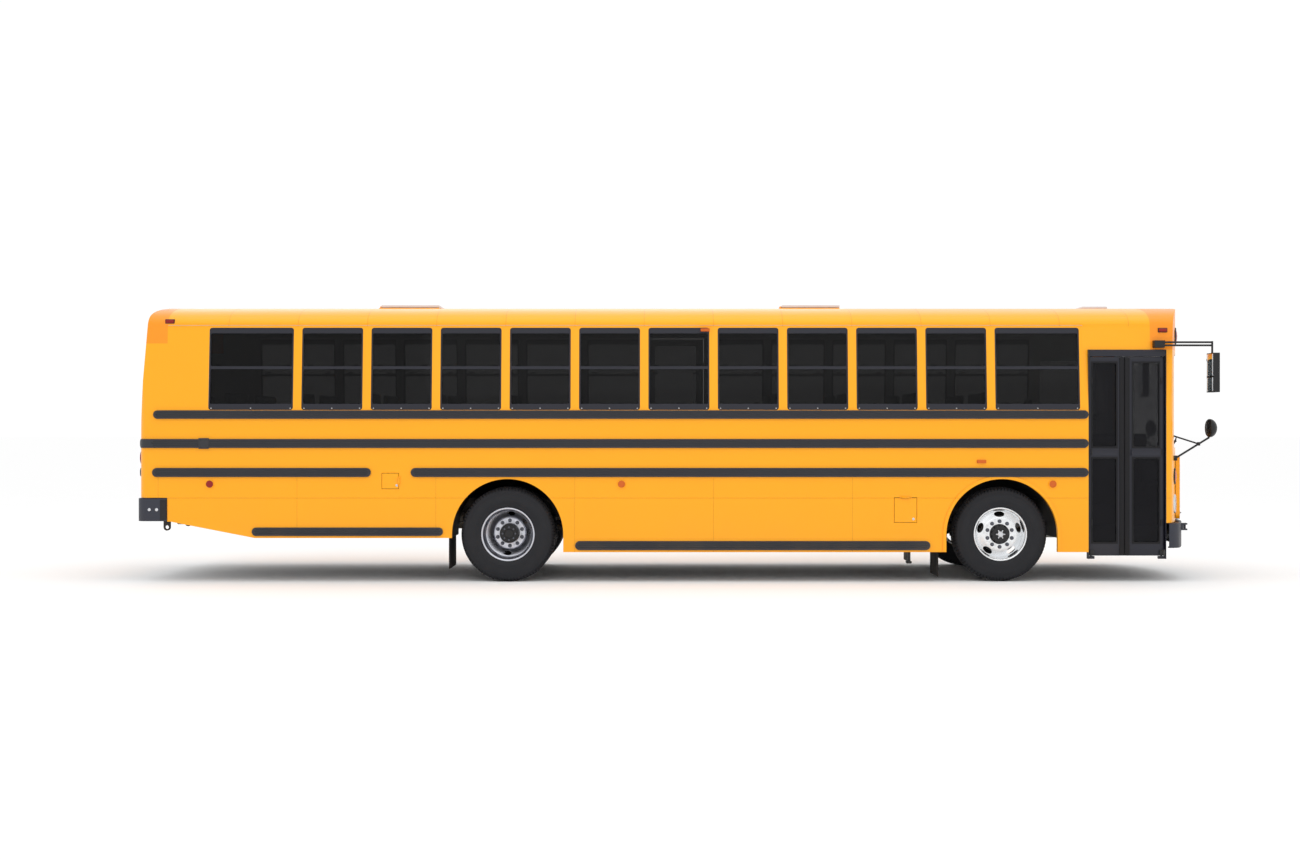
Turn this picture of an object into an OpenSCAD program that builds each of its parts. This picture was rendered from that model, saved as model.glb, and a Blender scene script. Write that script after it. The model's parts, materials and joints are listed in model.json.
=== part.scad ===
// Flat-nosed school bus. +X is forward, +Y is the driver's (left) side, +Z is up.
// The origin is on the ground under the middle of the overall box. Lengths are in millimetres.

/* [Overall] */
// Distance between the axles
wheelbase = 5486; // [5000:1:6600]
// Place of the rear axle along the bus
rear_axle_x = -1916; // [-2400:1:-1500]
// Rear axle to the back face of the body
rear_overhang = 4096; // [3600:1:4700]
// Front axle to the middle of the bowed front face
front_overhang = 2188; // [2100:1:2300]
// Width of the body over its side sheets
body_w = 2438; // [2300:1:2600]
// Height of the roof's highest line
roof_z = 3100; // [3060:1:3300]

/* [Body shell] */
// Thickness of the walls and roof
wall_t = 45; // [35:1:55]
// Height of the window sill, where the sides begin to lean in
sill_z = 1905; // [1850:1:1950]
// Height where the roof curve begins
gutter_z = 2830; // [2780:1:2860]
// How far the side leans in between sill and gutter
lean_in = 61; // [20:1:90]
// Exponent of the roof curve, 2 is an ellipse
roof_power = 2.6; // [2:0.1:3.2]
// Straight pieces in the roof curve
roof_steps = 40; // [24:2:60]
// Radius of the bow of the front face, seen from above
bow_r = 2600; // [2200:10:3200]
// Radius of the front corners, seen from above
front_corner_r = 120; // [80:1:160]
// Radius of the rear corners, seen from above
rear_corner_r = 110; // [70:1:160]
// Radius where the roof meets the front
front_top_r = 200; // [120:1:260]
// Radius where the roof meets the rear
rear_top_r = 160; // [100:1:220]
// Height where the rear face begins to lean forward
rear_bend_z = 1580; // [1450:1:1700]
// Angle of the leaning rear face
rear_lean_deg = 3.8; // [0:0.1:6]
// Lowest edge of the side skirt between the wheels
skirt_z = 332; // [300:1:420]
// Lowest edge of the skirt behind the rear wheels
rear_skirt_z = 488; // [440:1:560]
// Lowest edge of the skirt next to the rear bumper
tail_skirt_z = 670; // [600:1:720]
// Depth of the orange end cap at the rear
rear_cap_depth = 310; // [260:1:400]
// Lowest edge of the rear end cap
rear_cap_z = 2650; // [2620:1:2700]
// Length of the front cap back from the middle of the front
front_cap_depth = 529; // [480:1:560]
// Top of the floor
floor_z = 1080; // [1050:1:1120]
// Thickness of the floor deck
floor_t = 50; // [30:1:60]

/* [Side windows] */
// Rear face to the first window
first_window = 775; // [700:1:900]
// Width of the wide rear and front windows
wide_window = 939; // [850:1:980]
// Pillar between two windows
pillar_w = 93; // [80:1:110]
// Wished spacing of the other windows
window_pitch = 770; // [700:1:900]
// Lower edge of the window openings
window_z0 = 1909; // [1907:1:1960]
// Upper edge of the window openings
window_z1 = 2826; // [2700:1:2828]
// Height of the upper window frame band
frame_top_h = 63; // [40:1:80]
// Height of the lower window frame band
frame_low_h = 68; // [40:1:80]
// Width of the upright window frame bars
frame_side_w = 16; // [10:1:24]
// Height of the middle of the sash rail
sash_z = 2380; // [2250:1:2450]
// Height of the sash rail
sash_h = 32; // [20:1:40]
// Thickness of the window glass
glass_t = 6; // [4:1:8]

/* [Wheels] */
// Tyre outside radius
tyre_r = 525; // [500:1:540]
// Tyre width
tyre_w = 275; // [250:1:290]
// Radius of the wheel rim under the tyre
rim_r = 286; // [280:1:290]
// Width of the wheel rim between its flanges
rim_w = 210; // [190:1:220]
// Middle of the front tyres from the centreline
front_track_y = 1030; // [1010:1:1035]
// Middle of the two rear tyre pairs from the centreline
rear_track_y = 892; // [880:1:900]
// Distance between the middles of twin tyres
twin_gap = 335; // [320:1:345]
// Radius of the wheel arches
arch_r = 618; // [610:1:640]
// Radius of the hub bodies
hub_r = 108; // [95:1:120]
// Radius of the brake drums
drum_r = 208; // [190:1:215]
// Kingpins from the centreline
kingpin_y = 880; // [860:1:885]
// Radius of the front spindles
spindle_r = 32; // [28:1:36]
// Length of the steering arms
steer_arm = 160; // [140:1:180]

/* [Chassis] */
// Underside of the frame rails
rail_z0 = 690; // [680:1:700]
// Top of the frame rails
rail_z1 = 900; // [880:1:910]
// Outer face of the frame rails from the centreline
rail_y = 432; // [420:1:440]
// Flange width of the frame rails
rail_flange = 70; // [50:1:80]
// Sheet thickness of the frame rails
rail_t = 9; // [6:1:12]
// Spacing of the frame crossmembers and floor sills
cross_pitch = 700; // [600:10:900]

/* [Entrance door] */
// Front edge of the wheel arch to the rear edge of the door opening
door_gap = 343; // [330:1:360]
// Width of the door opening
door_w = 864; // [780:1:880]
// Lower edge of the door leaves
door_z0 = 290; // [285:1:320]
// Top edge of the door leaves
door_z1 = 2500; // [2400:1:2510]
// Top of the door opening
door_top = 2580; // [2560:1:2600]
// Thickness of the door leaves
leaf_t = 35; // [28:1:40]
// Outer face of the door leaves inside the skirt line
leaf_inset = 39; // [36:1:48]
// Wide rubber seal between the leaves, half width

/* [Seats] */
// Height of the seat pads above the floor
seat_h = 430; // [400:1:460]
// Height of the seat backs above the floor
seat_back_h = 1060; // [900:1:1080]
// Half width of the aisle
aisle_half = 195; // [180:1:230]
// Depth of a bench cushion
bench_d = 400; // [360:1:430]
// Thickness of the bench cushion
pad_t = 120; // [80:1:130]

/* [Fits] */
// Gap round doors, lids and flaps
door_clear = 6; // [5:0.5:8]
// Radial clearance of pins in their barrels
pin_clear = 0.3; // [0.2:0.05:0.4]
// How far rub rails stand out from the side
rail_proud = 18; // [12:1:22]

/* [Hidden] */
$fn = 64;
hw = body_w / 2;
gutter_hw = hw - lean_in;
axle_z = tyre_r;
front_axle_x = rear_axle_x + wheelbase;
rear_x = rear_axle_x - rear_overhang;
nose_x = front_axle_x + front_overhang;
bow_x = nose_x - bow_r;
corner_x = bow_x + sqrt(pow(bow_r - front_corner_r, 2) - pow(hw - front_corner_r, 2));
roof_rise = roof_z - gutter_z;
top_z = roof_z + 5;
eave_z = gutter_z + 30;
door_x0 = front_axle_x + arch_r + door_gap;
door_x1 = door_x0 + door_w;
door_mid = door_x0 + 408;
cap_x = nose_x - front_cap_depth;
rear_cap_x = rear_x + rear_cap_depth;
rear_split_x = rear_x + rear_corner_r + 10;
bumper_top = 928;
bumper_low = 675;
bumper_grow = 23;
bumper_t = 12;
eye_x = rear_x + 75;
tail_x = rear_x + 320;
window_x0 = rear_x + first_window;
front_window_x = door_x0 - 92 - wide_window;
row_x0 = window_x0 + wide_window + pillar_w;
row_len = front_window_x - row_x0;
window_n = round(row_len / window_pitch);
pitch = row_len / window_n;
exit_index = floor(window_n / 2);
exit_mid = row_x0 + exit_index * pitch + (pitch - pillar_w) / 2;
exit_half = (pitch - pillar_w) / 2 + 17;
exit_x0 = exit_mid - exit_half;
exit_x1 = exit_mid + exit_half;
exit_z0 = floor_z + 8;
exit_z1 = gutter_z;
back_half = 374;
back_z0 = floor_z + 8;
back_z1 = 2560;
liner_r = arch_r + 22;
liner_in = arch_r + 4;
cheek_y = 515;
engine_hole = [front_axle_x + 730, front_axle_x + 1790];
engine_half = 370;
step_y = 480;
pivot_in = 40;
leaf_gap = 18;
step_in_y = hw - leaf_inset - leaf_t / 2 - pivot_in + 6;
step_z = [360, 600, 840];
hatch_len = 670;
hatch_half = 300;
hatch_x = [rear_axle_x - 1554, rear_axle_x + 3125];
hatch_z = roof_z + 18;
steer_x = front_axle_x - steer_arm;
steer_z = axle_z - 125;
wheel_tilt = 25;
wheel_pos = [front_axle_x + 1430, 700, 1790];
stop_x = front_axle_x - 820;
stop_y = hw + 37;
arm_ring_r = bow_r + 102;
arm_y = -950;
arm_x = bow_x + sqrt(pow(arm_ring_r, 2) - pow(arm_y, 2));
arm_z = 600;
hood_z = [680, 1395];
hood_half = 880;
hood_axis = [nose_x + 27, 0, hood_z[1] + 20];
fuel_x = [rear_axle_x - 1397, rear_axle_x - 1205];
fuel_z = [1032, 1210];
battery_x = [front_axle_x - 1197, front_axle_x - 942];
battery_z = [659, 939];

upper_rail = [1811, 1905];
middle_rail = [1488, 1587];
lower_rail = [1166, 1266];
mirror_head_x = [door_x1 + 440, door_x1 + 600];
leaf_y = -hw + leaf_inset + leaf_t / 2;
row_start = rear_x + 235;
row_limit = front_axle_x - 120;
rows = floor((row_limit - row_start) / pitch) + 1;
back_panes = [[-270, 1240, 270, 1460], [-270, 1900, 270, 2480]];
driver_window = [door_x0 + 50, door_x0 + 760, 1620, 2560];

// ---- Helpers ----
function arc(c, r, a0, a1, n) = [for (i = [0 : n]) let (a = a0 + (a1 - a0) * i / n)
                                 c + r * [cos(a), sin(a)]];
function side_y(z) = z <= sill_z ? hw : hw - lean_in * (z - sill_z) / (gutter_z - sill_z);
function rear_face(z) = rear_x + max(0, z - rear_bend_z) * tan(rear_lean_deg);
function bow_at(y, grow) = bow_x + sqrt(pow(bow_r + grow, 2) - y * y);

module along_x(x0, x1) {
  translate([x0, 0, 0]) rotate([90, 0, 90]) linear_extrude(x1 - x0) children();
}
module along_y(y0, y1) {
  translate([0, y1, 0]) rotate([90, 0, 0]) linear_extrude(y1 - y0) children();
}
module along_z(z0, z1) {
  translate([0, 0, z0]) linear_extrude(z1 - z0) children();
}
module block(a, b) {
  translate(a) cube(b - a);
}
module rod_x(r, x0, x1, y, z) {
  translate([x0, y, z]) rotate([0, 90, 0]) cylinder(r = r, h = x1 - x0);
}
module rod_y(r, x, y0, y1, z) {
  translate([x, y1, z]) rotate([90, 0, 0]) cylinder(r = r, h = y1 - y0);
}
module rod_z(r, x, y, z0, z1) {
  translate([x, y, z0]) cylinder(r = r, h = z1 - z0);
}
module rod_between(a, b, r) {
  d = b - a;
  translate(a) rotate([0, acos(d[2] / norm(d)), atan2(d[1], d[0])]) cylinder(r = r, h = norm(d));
}
module both_sides() {
  children();
  mirror([0, 1, 0]) children();
}
// Rectangle with rounded corners between two opposite corners
module pane(a, b, r = 30) {
  translate(a + [r, r]) offset(r = r, $fn = 24) square(b - a - [2 * r, 2 * r]);
}

// ---- Body form ----
// Cross-section, shrunk inward by d
module section_2d(d) {
  roof = [for (i = [0 : roof_steps]) let (t = 180 - 180 * i / roof_steps, c = cos(t), s = sin(t))
          [sign(c) * (gutter_hw - d) * pow(abs(c), 2 / roof_power),
           gutter_z + (roof_rise - d) * pow(abs(s), 2 / roof_power)]];
  polygon(concat([[hw - d, sill_z], [hw - d, -200], [d - hw, -200], [d - hw, sill_z]], roof));
}
// Side profile with the leaning rear and the rounded roof ends
module profile_2d(d) {
  lean = rear_lean_deg;
  cz = top_z - rear_top_r;
  cx = rear_x + (rear_top_r + sin(lean) * (cz - rear_bend_z)) / cos(lean);
  bend = [rear_x + d, rear_bend_z - d * tan(lean / 2)];
  polygon(concat([[nose_x - d, -300], [rear_x + d, -300], bend],
                 arc([cx, cz], rear_top_r - d, 180 - lean, 90, 12),
                 arc([nose_x - front_top_r, top_z - front_top_r], front_top_r - d, 90, 0, 12)));
}
// Outline seen from above, for a given half width, front bow and corner radius
module plan_2d(half_w, grow, corner_r, d) {
  r = bow_r + grow;
  cx = bow_x + sqrt(pow(r - corner_r, 2) - pow(half_w - corner_r, 2));
  a = atan2(half_w - corner_r, cx - bow_x);
  back = [rear_x + rear_corner_r, half_w - rear_corner_r];
  polygon(concat(arc([back[0], -back[1]], rear_corner_r - d, 180, 270, 12),
                 arc([cx, corner_r - half_w], corner_r - d, 270, 360 - a, 12),
                 arc([bow_x, 0], r - d, -a + 1, a - 1, 40),
                 arc([cx, half_w - corner_r], corner_r - d, a, 90, 12),
                 arc(back, rear_corner_r - d, 90, 180, 12)));
}
module form(d, x0, x1) {
  intersection() {
    along_x(x0, x1) section_2d(d);
    along_y(-hw - 100, hw + 100) profile_2d(d);
    along_z(-300, 4000) plan_2d(hw, 0, front_corner_r, d);
  }
}
module skin(x0, x1, d0 = 0, d1 = wall_t) {
  difference() {
    form(d0, x0, x1);
    form(d1, x0 - 1, x1 + 1);
  }
}
// Upright strip of the right side wall between two depths and two heights
module side_strip(x0, x1, z0, z1, d0 = 0, d1 = wall_t) {
  zs = concat([z0], (z0 < sill_z && z1 > sill_z) ? [sill_z] : [],
              (z0 < gutter_z && z1 > gutter_z) ? [gutter_z] : [], [z1]);
  outer = [for (z = zs) [d0 - side_y(min(z, gutter_z)), z]];
  inner = [for (i = [len(zs) - 1 : -1 : 0]) [d1 - side_y(min(zs[i], gutter_z)), zs[i]]];
  along_x(x0, x1) polygon(concat(outer, inner));
}
// Area below the lower edge of the body sides
module below_skirt_2d() {
  polygon([[rear_x - 50, -50], [nose_x + 50, -50], [nose_x + 50, skirt_z],
           [rear_axle_x, skirt_z], [rear_axle_x, rear_skirt_z],
           [rear_x + 1290, rear_skirt_z], [tail_x + 35, tail_skirt_z], [tail_x, tail_skirt_z],
           [tail_x, bumper_top + 7], [rear_x - 50, bumper_top + 7]]);
}
module arch_2d(x, r) {
  translate([x, axle_z]) circle(r = r, $fn = 96);
  translate([x - r, 0]) square([2 * r, axle_z]);
}
// Sheet of one side with arches, before its doors are cut
module side_sheet(x1, roof_x1) {
  difference() {
    union() {
      side_strip(rear_split_x, x1, 200, door_top);
      side_strip(rear_split_x, roof_x1, door_top, eave_z);
      front_arch_lip();
    }
    along_y(-hw - 50, 0) {
      below_skirt_2d();
      arch_2d(rear_axle_x, arch_r);
      arch_2d(front_axle_x, arch_r);
    }
    block([rear_split_x - 1, -hw - 1, rear_cap_z], [rear_cap_x, 0, eave_z + 1]);
  }
}
module front_arch_lip() {
  difference() {
    along_y(-hw - 10, -hw + 1) intersection() {
      arch_2d(front_axle_x, arch_r + 37);
      translate([front_axle_x - arch_r - 60, skirt_z + 2])
        square([2 * arch_r + 120, lower_rail[0] - skirt_z - 2]);
    }
    along_y(-hw - 20, 0) arch_2d(front_axle_x, arch_r);
  }
}
// Side window openings as flat shapes, counted from the rear
function windows() = concat([[window_x0, window_x0 + wide_window]],
                            [for (i = [0 : window_n - 1])
                             [row_x0 + i * pitch, row_x0 + (i + 1) * pitch - pillar_w]],
                            [[front_window_x, front_window_x + wide_window]]);

// ---- Hinges: the axis is local Z, +X points to the leaf, +Y points into the wall ----
// reach is the distance from the axis to the wall's face
module hinge_leaf(reach, r = 7, h = 100) {
  difference() {
    union() {
      cylinder(r = r + 5, h = h, center = true);
      translate([0, -4, -h / 2 + 4]) cube([r * 5, reach, h - 8]);
      translate([2 * r + 4, reach - 5, -h / 2 + 4]) cube([3 * r - 4, 12, h - 8]);
    }
    cylinder(r = r + pin_clear, h = h + 2, center = true);
  }
}
module hinge_post(reach, r = 7, h = 100) {
  cylinder(r = r, h = h + 40, center = true);
  for (s = [-1, 1]) translate([-3 * r, -r - 2, s * (h / 2 + 13) - 7]) cube([3 * r + 6, reach + r + 7, 14]);
}
// Puts a hinge at p with its local X and Y along the given directions
module at_frame(p, x, y) {
  z = cross(x, y);
  multmatrix([[x[0], y[0], z[0], p[0]], [x[1], y[1], z[1], p[1]], [x[2], y[2], z[2], p[2]], [0, 0, 0, 1]])
    children();
}
module at_rear_hinge(z) {
  at_frame([rear_x - 16, -back_half - 14, z], [0, 1, 0], [1, 0, 0]) children();
}
module at_side_hinge(z) {
  at_frame([exit_x1 + 14, hw + 16, z], [-1, 0, 0], [0, -1, 0]) children();
}
module at_hatch_hinge(x, y) {
  at_frame([x - 14, y, hatch_z + 10], [1, 0, 0], [0, 0, -1]) children();
}
module at_hood_hinge(y) {
  at_frame([hood_axis[0], y, hood_axis[2]], [0, 0, -1], [-1, 0, 0]) children();
}
module at_fuel_hinge() {
  at_frame([fuel_x[1] + 3, -hw - 10, (fuel_z[0] + fuel_z[1]) / 2], [-1, 0, 0], [0, 1, 0]) children();
}
module at_battery_hinge() {
  at_frame([(battery_x[0] + battery_x[1]) / 2, -hw - 10, battery_z[1] + 3], [0, 0, -1], [0, 1, 0])
    children();
}

// ---- Body panels ----
module side_wall_right() {
  color("orange") {
    difference() {
      side_sheet(door_x0, cap_x);
      along_y(-hw - 1, -gutter_hw + 60) {
        for (w = windows()) pane([w[0], window_z0], [w[1], window_z1]);
        translate([fuel_x[0], fuel_z[0]]) square([fuel_x[1] - fuel_x[0], fuel_z[1] - fuel_z[0]]);
        translate([battery_x[0], battery_z[0]])
          square([battery_x[1] - battery_x[0], battery_z[1] - battery_z[0]]);
      }
    }
    at_fuel_hinge() hinge_post(10, 3, 60);
    at_battery_hinge() hinge_post(10, 3, 90);
  }
}
module side_wall_left() {
  color("orange") mirror([0, 1, 0]) {
    difference() {
      side_sheet(corner_x, cap_x);
      along_y(-hw - 1, -gutter_hw + 60) {
        for (i = [0 : window_n + 1]) if (i != exit_index + 1)
          pane([windows()[i][0], window_z0], [windows()[i][1], window_z1]);
        translate([exit_x0, exit_z0 - door_clear])
          square([exit_x1 - exit_x0, exit_z1 - exit_z0 + 2 * door_clear]);
        pane([driver_window[0], driver_window[2]], [driver_window[1], driver_window[3]]);
      }
    }
  }
  color("orange") {
    for (z = [1250, 1700]) at_side_hinge(z) hinge_post(16);
    at_side_hinge(2500) hinge_post(16 + hw - side_y(2500));
    difference() {
      block([stop_x - 28, hw - 1, 1290], [stop_x + 28, stop_y + 25, 1460]);
      block([stop_x - 29, hw + 12, 1310], [stop_x + 29, stop_y + 26, 1440]);
    }
    rod_z(8, stop_x, stop_y, 1305, 1445);
  }
}
module roof() {
  color("orange") {
    difference() {
      along_x(rear_cap_x, cap_x) difference() {
        section_2d(0);
        section_2d(wall_t);
        translate([-hw - 1, -300]) square([2 * hw + 2, eave_z + 300]);
      }
      for (x = hatch_x)
        block([x + 30, 40 - hatch_half, gutter_z], [x + hatch_len - 30, hatch_half - 40, top_z + 9]);
    }
    for (x = hatch_x) {
      difference() {
        block([x - 30, -hatch_half, roof_z - 30], [x + hatch_len, hatch_half, hatch_z - door_clear]);
        block([x + 30, 40 - hatch_half, gutter_z], [x + hatch_len - 30, hatch_half - 40, top_z + 99]);
      }
      for (y = [-200, 200]) at_hatch_hinge(x, y) hinge_post(16, 4, 60);
    }
    block([front_axle_x + 1190, -140, roof_z - 20], [front_axle_x + 1475, 140, roof_z + 38]);
  }
}
module front_cap() {
  color("darkorange") intersection() {
    skin(cap_x, nose_x + 50);
    block([cap_x - 1, -hw - 1, door_top], [nose_x + 60, hw + 1, top_z + 9]);
  }
}
module windshield_2d(grow) {
  for (s = [-1, 1]) translate([s * 560, 2010])
    offset(r = 60 + grow, $fn = 24) square([880, 930], center = true);
}
module front_wall() {
  color("orange") {
    difference() {
      skin(corner_x, nose_x + 50);
      block([0, -hw - 1, door_top], [nose_x + 60, hw + 1, top_z + 9]);
      block([0, -hw - 1, -300], [nose_x + 60, hw + 1, 656]);
      block([corner_x - 1, -hw - 1, 0], [door_x1, 0, door_top + 1]);
      along_x(corner_x + 120, nose_x + 50) windshield_2d(0);
      along_x(corner_x + 120, nose_x + 50) pane([-820, 730], [820, 1340]);
    }
    intersection() {
      for (y = [-150, 150]) at_hood_hinge(y) hinge_post(27 + 10, 7, 80);
      block([bow_at(150, -20), -300, 1300], [nose_x + 90, 300, 1500]);
    }
  }
}
module rear_openings() {
  for (s = [-1, 1]) translate([s * 770, 2190]) offset(r = 40, $fn = 24) square([480, 520], center = true);
}
module rear_cap() {
  color("darkorange") intersection() {
    skin(rear_x - 50, rear_cap_x);
    block([rear_x - 60, -hw - 1, rear_cap_z], [rear_cap_x, hw + 1, top_z + 9]);
  }
}
module rear_wall() {
  color("orange") {
    difference() {
      skin(rear_x - 50, rear_split_x);
      block([rear_x - 60, -hw - 1, rear_cap_z], [rear_cap_x, hw + 1, top_z + 9]);
      block([rear_x - 60, -hw - 1, -300], [rear_cap_x, hw + 1, bumper_top + 7]);
      along_x(rear_x - 50, rear_split_x) rear_openings();
      block([rear_x - 60, -back_half - door_clear, back_z0 - door_clear],
            [rear_split_x, back_half + door_clear, back_z1 + door_clear]);
    }
    for (z = [1250, 1800, 2350]) at_rear_hinge(z) hinge_post(16 + rear_face(z) - rear_x);
  }
}
// Cross-section of the stairs: treads and risers
module stairs_2d() {
  n = len(step_z);
  run = (step_in_y - step_y) / n;
  for (i = [0 : n - 1]) {
    y0 = -step_in_y + i * run;
    next = i == n - 1 ? floor_z : step_z[i + 1];
    translate([y0, step_z[i] - 6]) square([run, 6]);
    translate([y0 + run - 6, step_z[i] - 6]) square([6, next - step_z[i] + 6]);
  }
}
module floor_pan_2d() {
  difference() {
    intersection() {
      plan_2d(hw, 0, front_corner_r, wall_t);
      translate([rear_x, -hw]) square([nose_x - rear_x - 20, 2 * hw]);
    }
    translate([door_x0 - 6, -hw]) square([door_w + 12, hw - step_y]);
    translate([engine_hole[0], -engine_half]) square([engine_hole[1] - engine_hole[0], 2 * engine_half]);
  }
}
module floor() {
  color("dimgray") {
    difference() {
      union() {
        along_z(floor_z - floor_t, floor_z) floor_pan_2d();
        intersection() {
          along_z(rail_z1, floor_z - floor_t + 1) floor_pan_2d();
          for (x = [tail_x + 20 : cross_pitch : nose_x - 500])
            block([x, -hw, 0], [x + 40, hw, 2000]);
        }
      }
      for (x = [rear_axle_x, front_axle_x]) both_sides() rod_y(liner_r + 0.3, x, cheek_y, hw, axle_z);
    }
    along_x(door_x0, door_x1) stairs_2d();
    for (x = [door_x0 - 6, door_x1]) block([x, -step_in_y, step_z[0] - 6], [x + 6, -step_y, floor_z]);
  }
}
module wheel_housings() {
  color("black") both_sides() for (x = [rear_axle_x, front_axle_x]) {
    difference() {
      along_y(-hw + wall_t, -cheek_y) difference() {
        arch_2d(x, liner_r);
        arch_2d(x, liner_in);
        translate([x - liner_r - 1, -200]) square([2 * liner_r + 2, rear_skirt_z + 200]);
      }
      block([x - 900, -rail_y - 125, 0], [x + 900, 0, rail_z1]);
    }
    intersection() {
      rod_y(liner_r, x, -cheek_y - 10, -cheek_y, axle_z);
      block([x - 900, -hw, rail_z1 + 2], [x + 900, 0, 1400]);
    }
  }
}
module window_frames() {
  color("midnightblue") for (side = [0, 1]) mirror([0, side, 0])
    for (i = [0 : window_n + 1]) if (side == 0 || i != exit_index + 1) {
      w = windows()[i];
      intersection() {
        side_strip(w[0], w[1], window_z0, window_z1, 5, 35);
        along_y(-hw, 0) difference() {
          pane([w[0], window_z0], [w[1], window_z1]);
          pane([w[0] + frame_side_w, window_z0 + frame_low_h], [w[1] - frame_side_w, sash_z - sash_h / 2], 12);
          pane([w[0] + frame_side_w, sash_z + sash_h / 2], [w[1] - frame_side_w, window_z1 - frame_top_h], 12);
        }
      }
    }
}
module side_glass(w, z0, z1) {
  intersection() {
    side_strip(w[0], w[1], z0, z1, 16, 16 + glass_t);
    along_y(-hw, 0) pane([w[0], z0], [w[1], z1], 12);
  }
}
module window_glass() {
  color("darkslategray") {
    for (side = [0, 1]) mirror([0, side, 0])
      for (i = [0 : window_n + 1]) if (side == 0 || i != exit_index + 1) {
        w = windows()[i] + [frame_side_w, -frame_side_w];
        side_glass(w, window_z0 + frame_low_h, sash_z - sash_h / 2);
        side_glass(w, sash_z + sash_h / 2, window_z1 - frame_top_h);
      }
    mirror([0, 1, 0]) intersection() {
      side_strip(driver_window[0], driver_window[1], driver_window[2], driver_window[3], 16, 16 + glass_t);
      along_y(-hw, 0) pane([driver_window[0], driver_window[2]], [driver_window[1], driver_window[3]]);
    }
    intersection() {
      skin(rear_x - 50, rear_split_x, 16, 16 + glass_t);
      along_x(rear_x - 50, rear_split_x) rear_openings();
    }
  }
}
module windshield() {
  color("darkslategray") intersection() {
    skin(corner_x + 100, nose_x + 50, 16, 16 + glass_t);
    along_x(corner_x + 121, nose_x + 50) windshield_2d(0);
  }
}
// Flat shape of a rail with round ends
module rail_2d(x0, x1, z0, z1) {
  r = (z1 - z0) / 2 - 1;
  pane([x0, z0], [x1, z1], r);
}
module side_rails_2d() {
  rail_2d(rear_x + 169, door_x0 - 5, upper_rail[0], upper_rail[1]);
  rail_2d(rear_x + 157, rear_axle_x - 1516, lower_rail[0], lower_rail[1]);
  rail_2d(rear_axle_x - 1072, door_x0 - 5, lower_rail[0], lower_rail[1]);
  rail_2d(rear_x + 1262, rear_axle_x - 716, 512, 605);
  rail_2d(rear_axle_x + 751, front_axle_x - 797, 355, 455);
  pane([rear_split_x + 200, middle_rail[0]], [door_x0 - 5, middle_rail[1]], 48);
  translate([rear_split_x, middle_rail[0]]) square([400, middle_rail[1] - middle_rail[0]]);
}
module rub_rails() {
  color("darkslategray") {
    along_y(-hw - rail_proud, -hw) side_rails_2d();
    mirror([0, 1, 0]) difference() {
      along_y(-hw - rail_proud, -hw) side_rails_2d();
      block([exit_x0 - 20, -hw - 50, 900], [exit_x1 + 50, 0, 2000]);
      block([stop_x - 35, -hw - 50, 1280], [stop_x + 35, 0, 1600]);
    }
    along_z(middle_rail[0], middle_rail[1]) difference() {
      plan_2d(hw + rail_proud, 0, front_corner_r, 0);
      plan_2d(hw, 0, front_corner_r, 0);
      translate([rear_split_x, -2000]) square([20000, 4000]);
      translate([rear_x - 50, -back_half - 60]) square([200, 2 * back_half + 90]);
    }
    both_sides() for (z = [lower_rail, middle_rail])
      along_x(rear_x - rail_proud, rear_x) pane([back_half + 40, z[0]], [hw - rear_corner_r - 2, z[1]], 40);
  }
}

// ---- Chassis ----
module rail_section_2d() {
  difference() {
    translate([rail_y - rail_flange, rail_z0]) square([rail_flange, rail_z1 - rail_z0]);
    translate([rail_y - rail_flange - 1, rail_z0 + rail_t])
      square([rail_flange + 1 - rail_t, rail_z1 - rail_z0 - 2 * rail_t]);
  }
}
module chassis_frame() {
  tail = rear_x - bumper_grow + bumper_t;
  color("black") {
    both_sides() {
      along_x(tail, door_x1 - 5) rail_section_2d();
      intersection() {
        union() {
          block([door_x1 - 90, rail_y - 52, 480], [door_x1 - 5, rail_y, rail_z1]);
          block([door_x1 - 90, rail_y - 52, 480], [nose_x, rail_y, 640]);
        }
        along_z(0, 1000) plan_2d(hw, 0, front_corner_r, 0);
      }
    }
    for (x = [rear_x + 230 : cross_pitch : front_axle_x + 600])
      block([x, -rail_y + rail_t, 765], [x + 60, rail_y - rail_t, 875]);
    for (y = [-rail_y, rail_y - 25]) difference() {
      union() {
        block([eye_x - 40, y, 560], [eye_x + 40, y + 25, rail_z0 + 5]);
        rod_y(40, eye_x, y, y + 25, 560);
      }
      rod_y(22, eye_x, y - 1, y + 26, 560);
    }
  }
}
module front_axle() {
  boss = 57;
  color("black") {
    difference() {
      union() {
        along_x(front_axle_x - 40, front_axle_x + 40) polygon([
          [-kingpin_y, axle_z - boss], [-kingpin_y + 90, axle_z - boss], [-620, 385], [620, 385],
          [kingpin_y - 90, axle_z - boss], [kingpin_y, axle_z - boss], [kingpin_y, axle_z + boss],
          [kingpin_y - 110, axle_z + boss], [590, 465], [-590, 465], [-kingpin_y + 110, axle_z + boss],
          [-kingpin_y, axle_z + boss]]);
        both_sides() rod_z(42, front_axle_x, kingpin_y, axle_z - boss, axle_z + boss);
      }
      for (s = [-1, 1]) along_x(front_axle_x + s * 35 - 20, front_axle_x + s * 35 + 20)
        polygon([[-640, 402], [640, 402], [600, 448], [-600, 448]]);
    }
    both_sides() rod_z(22, front_axle_x, kingpin_y, axle_z - 95, axle_z + 95);
  }
}
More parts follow.
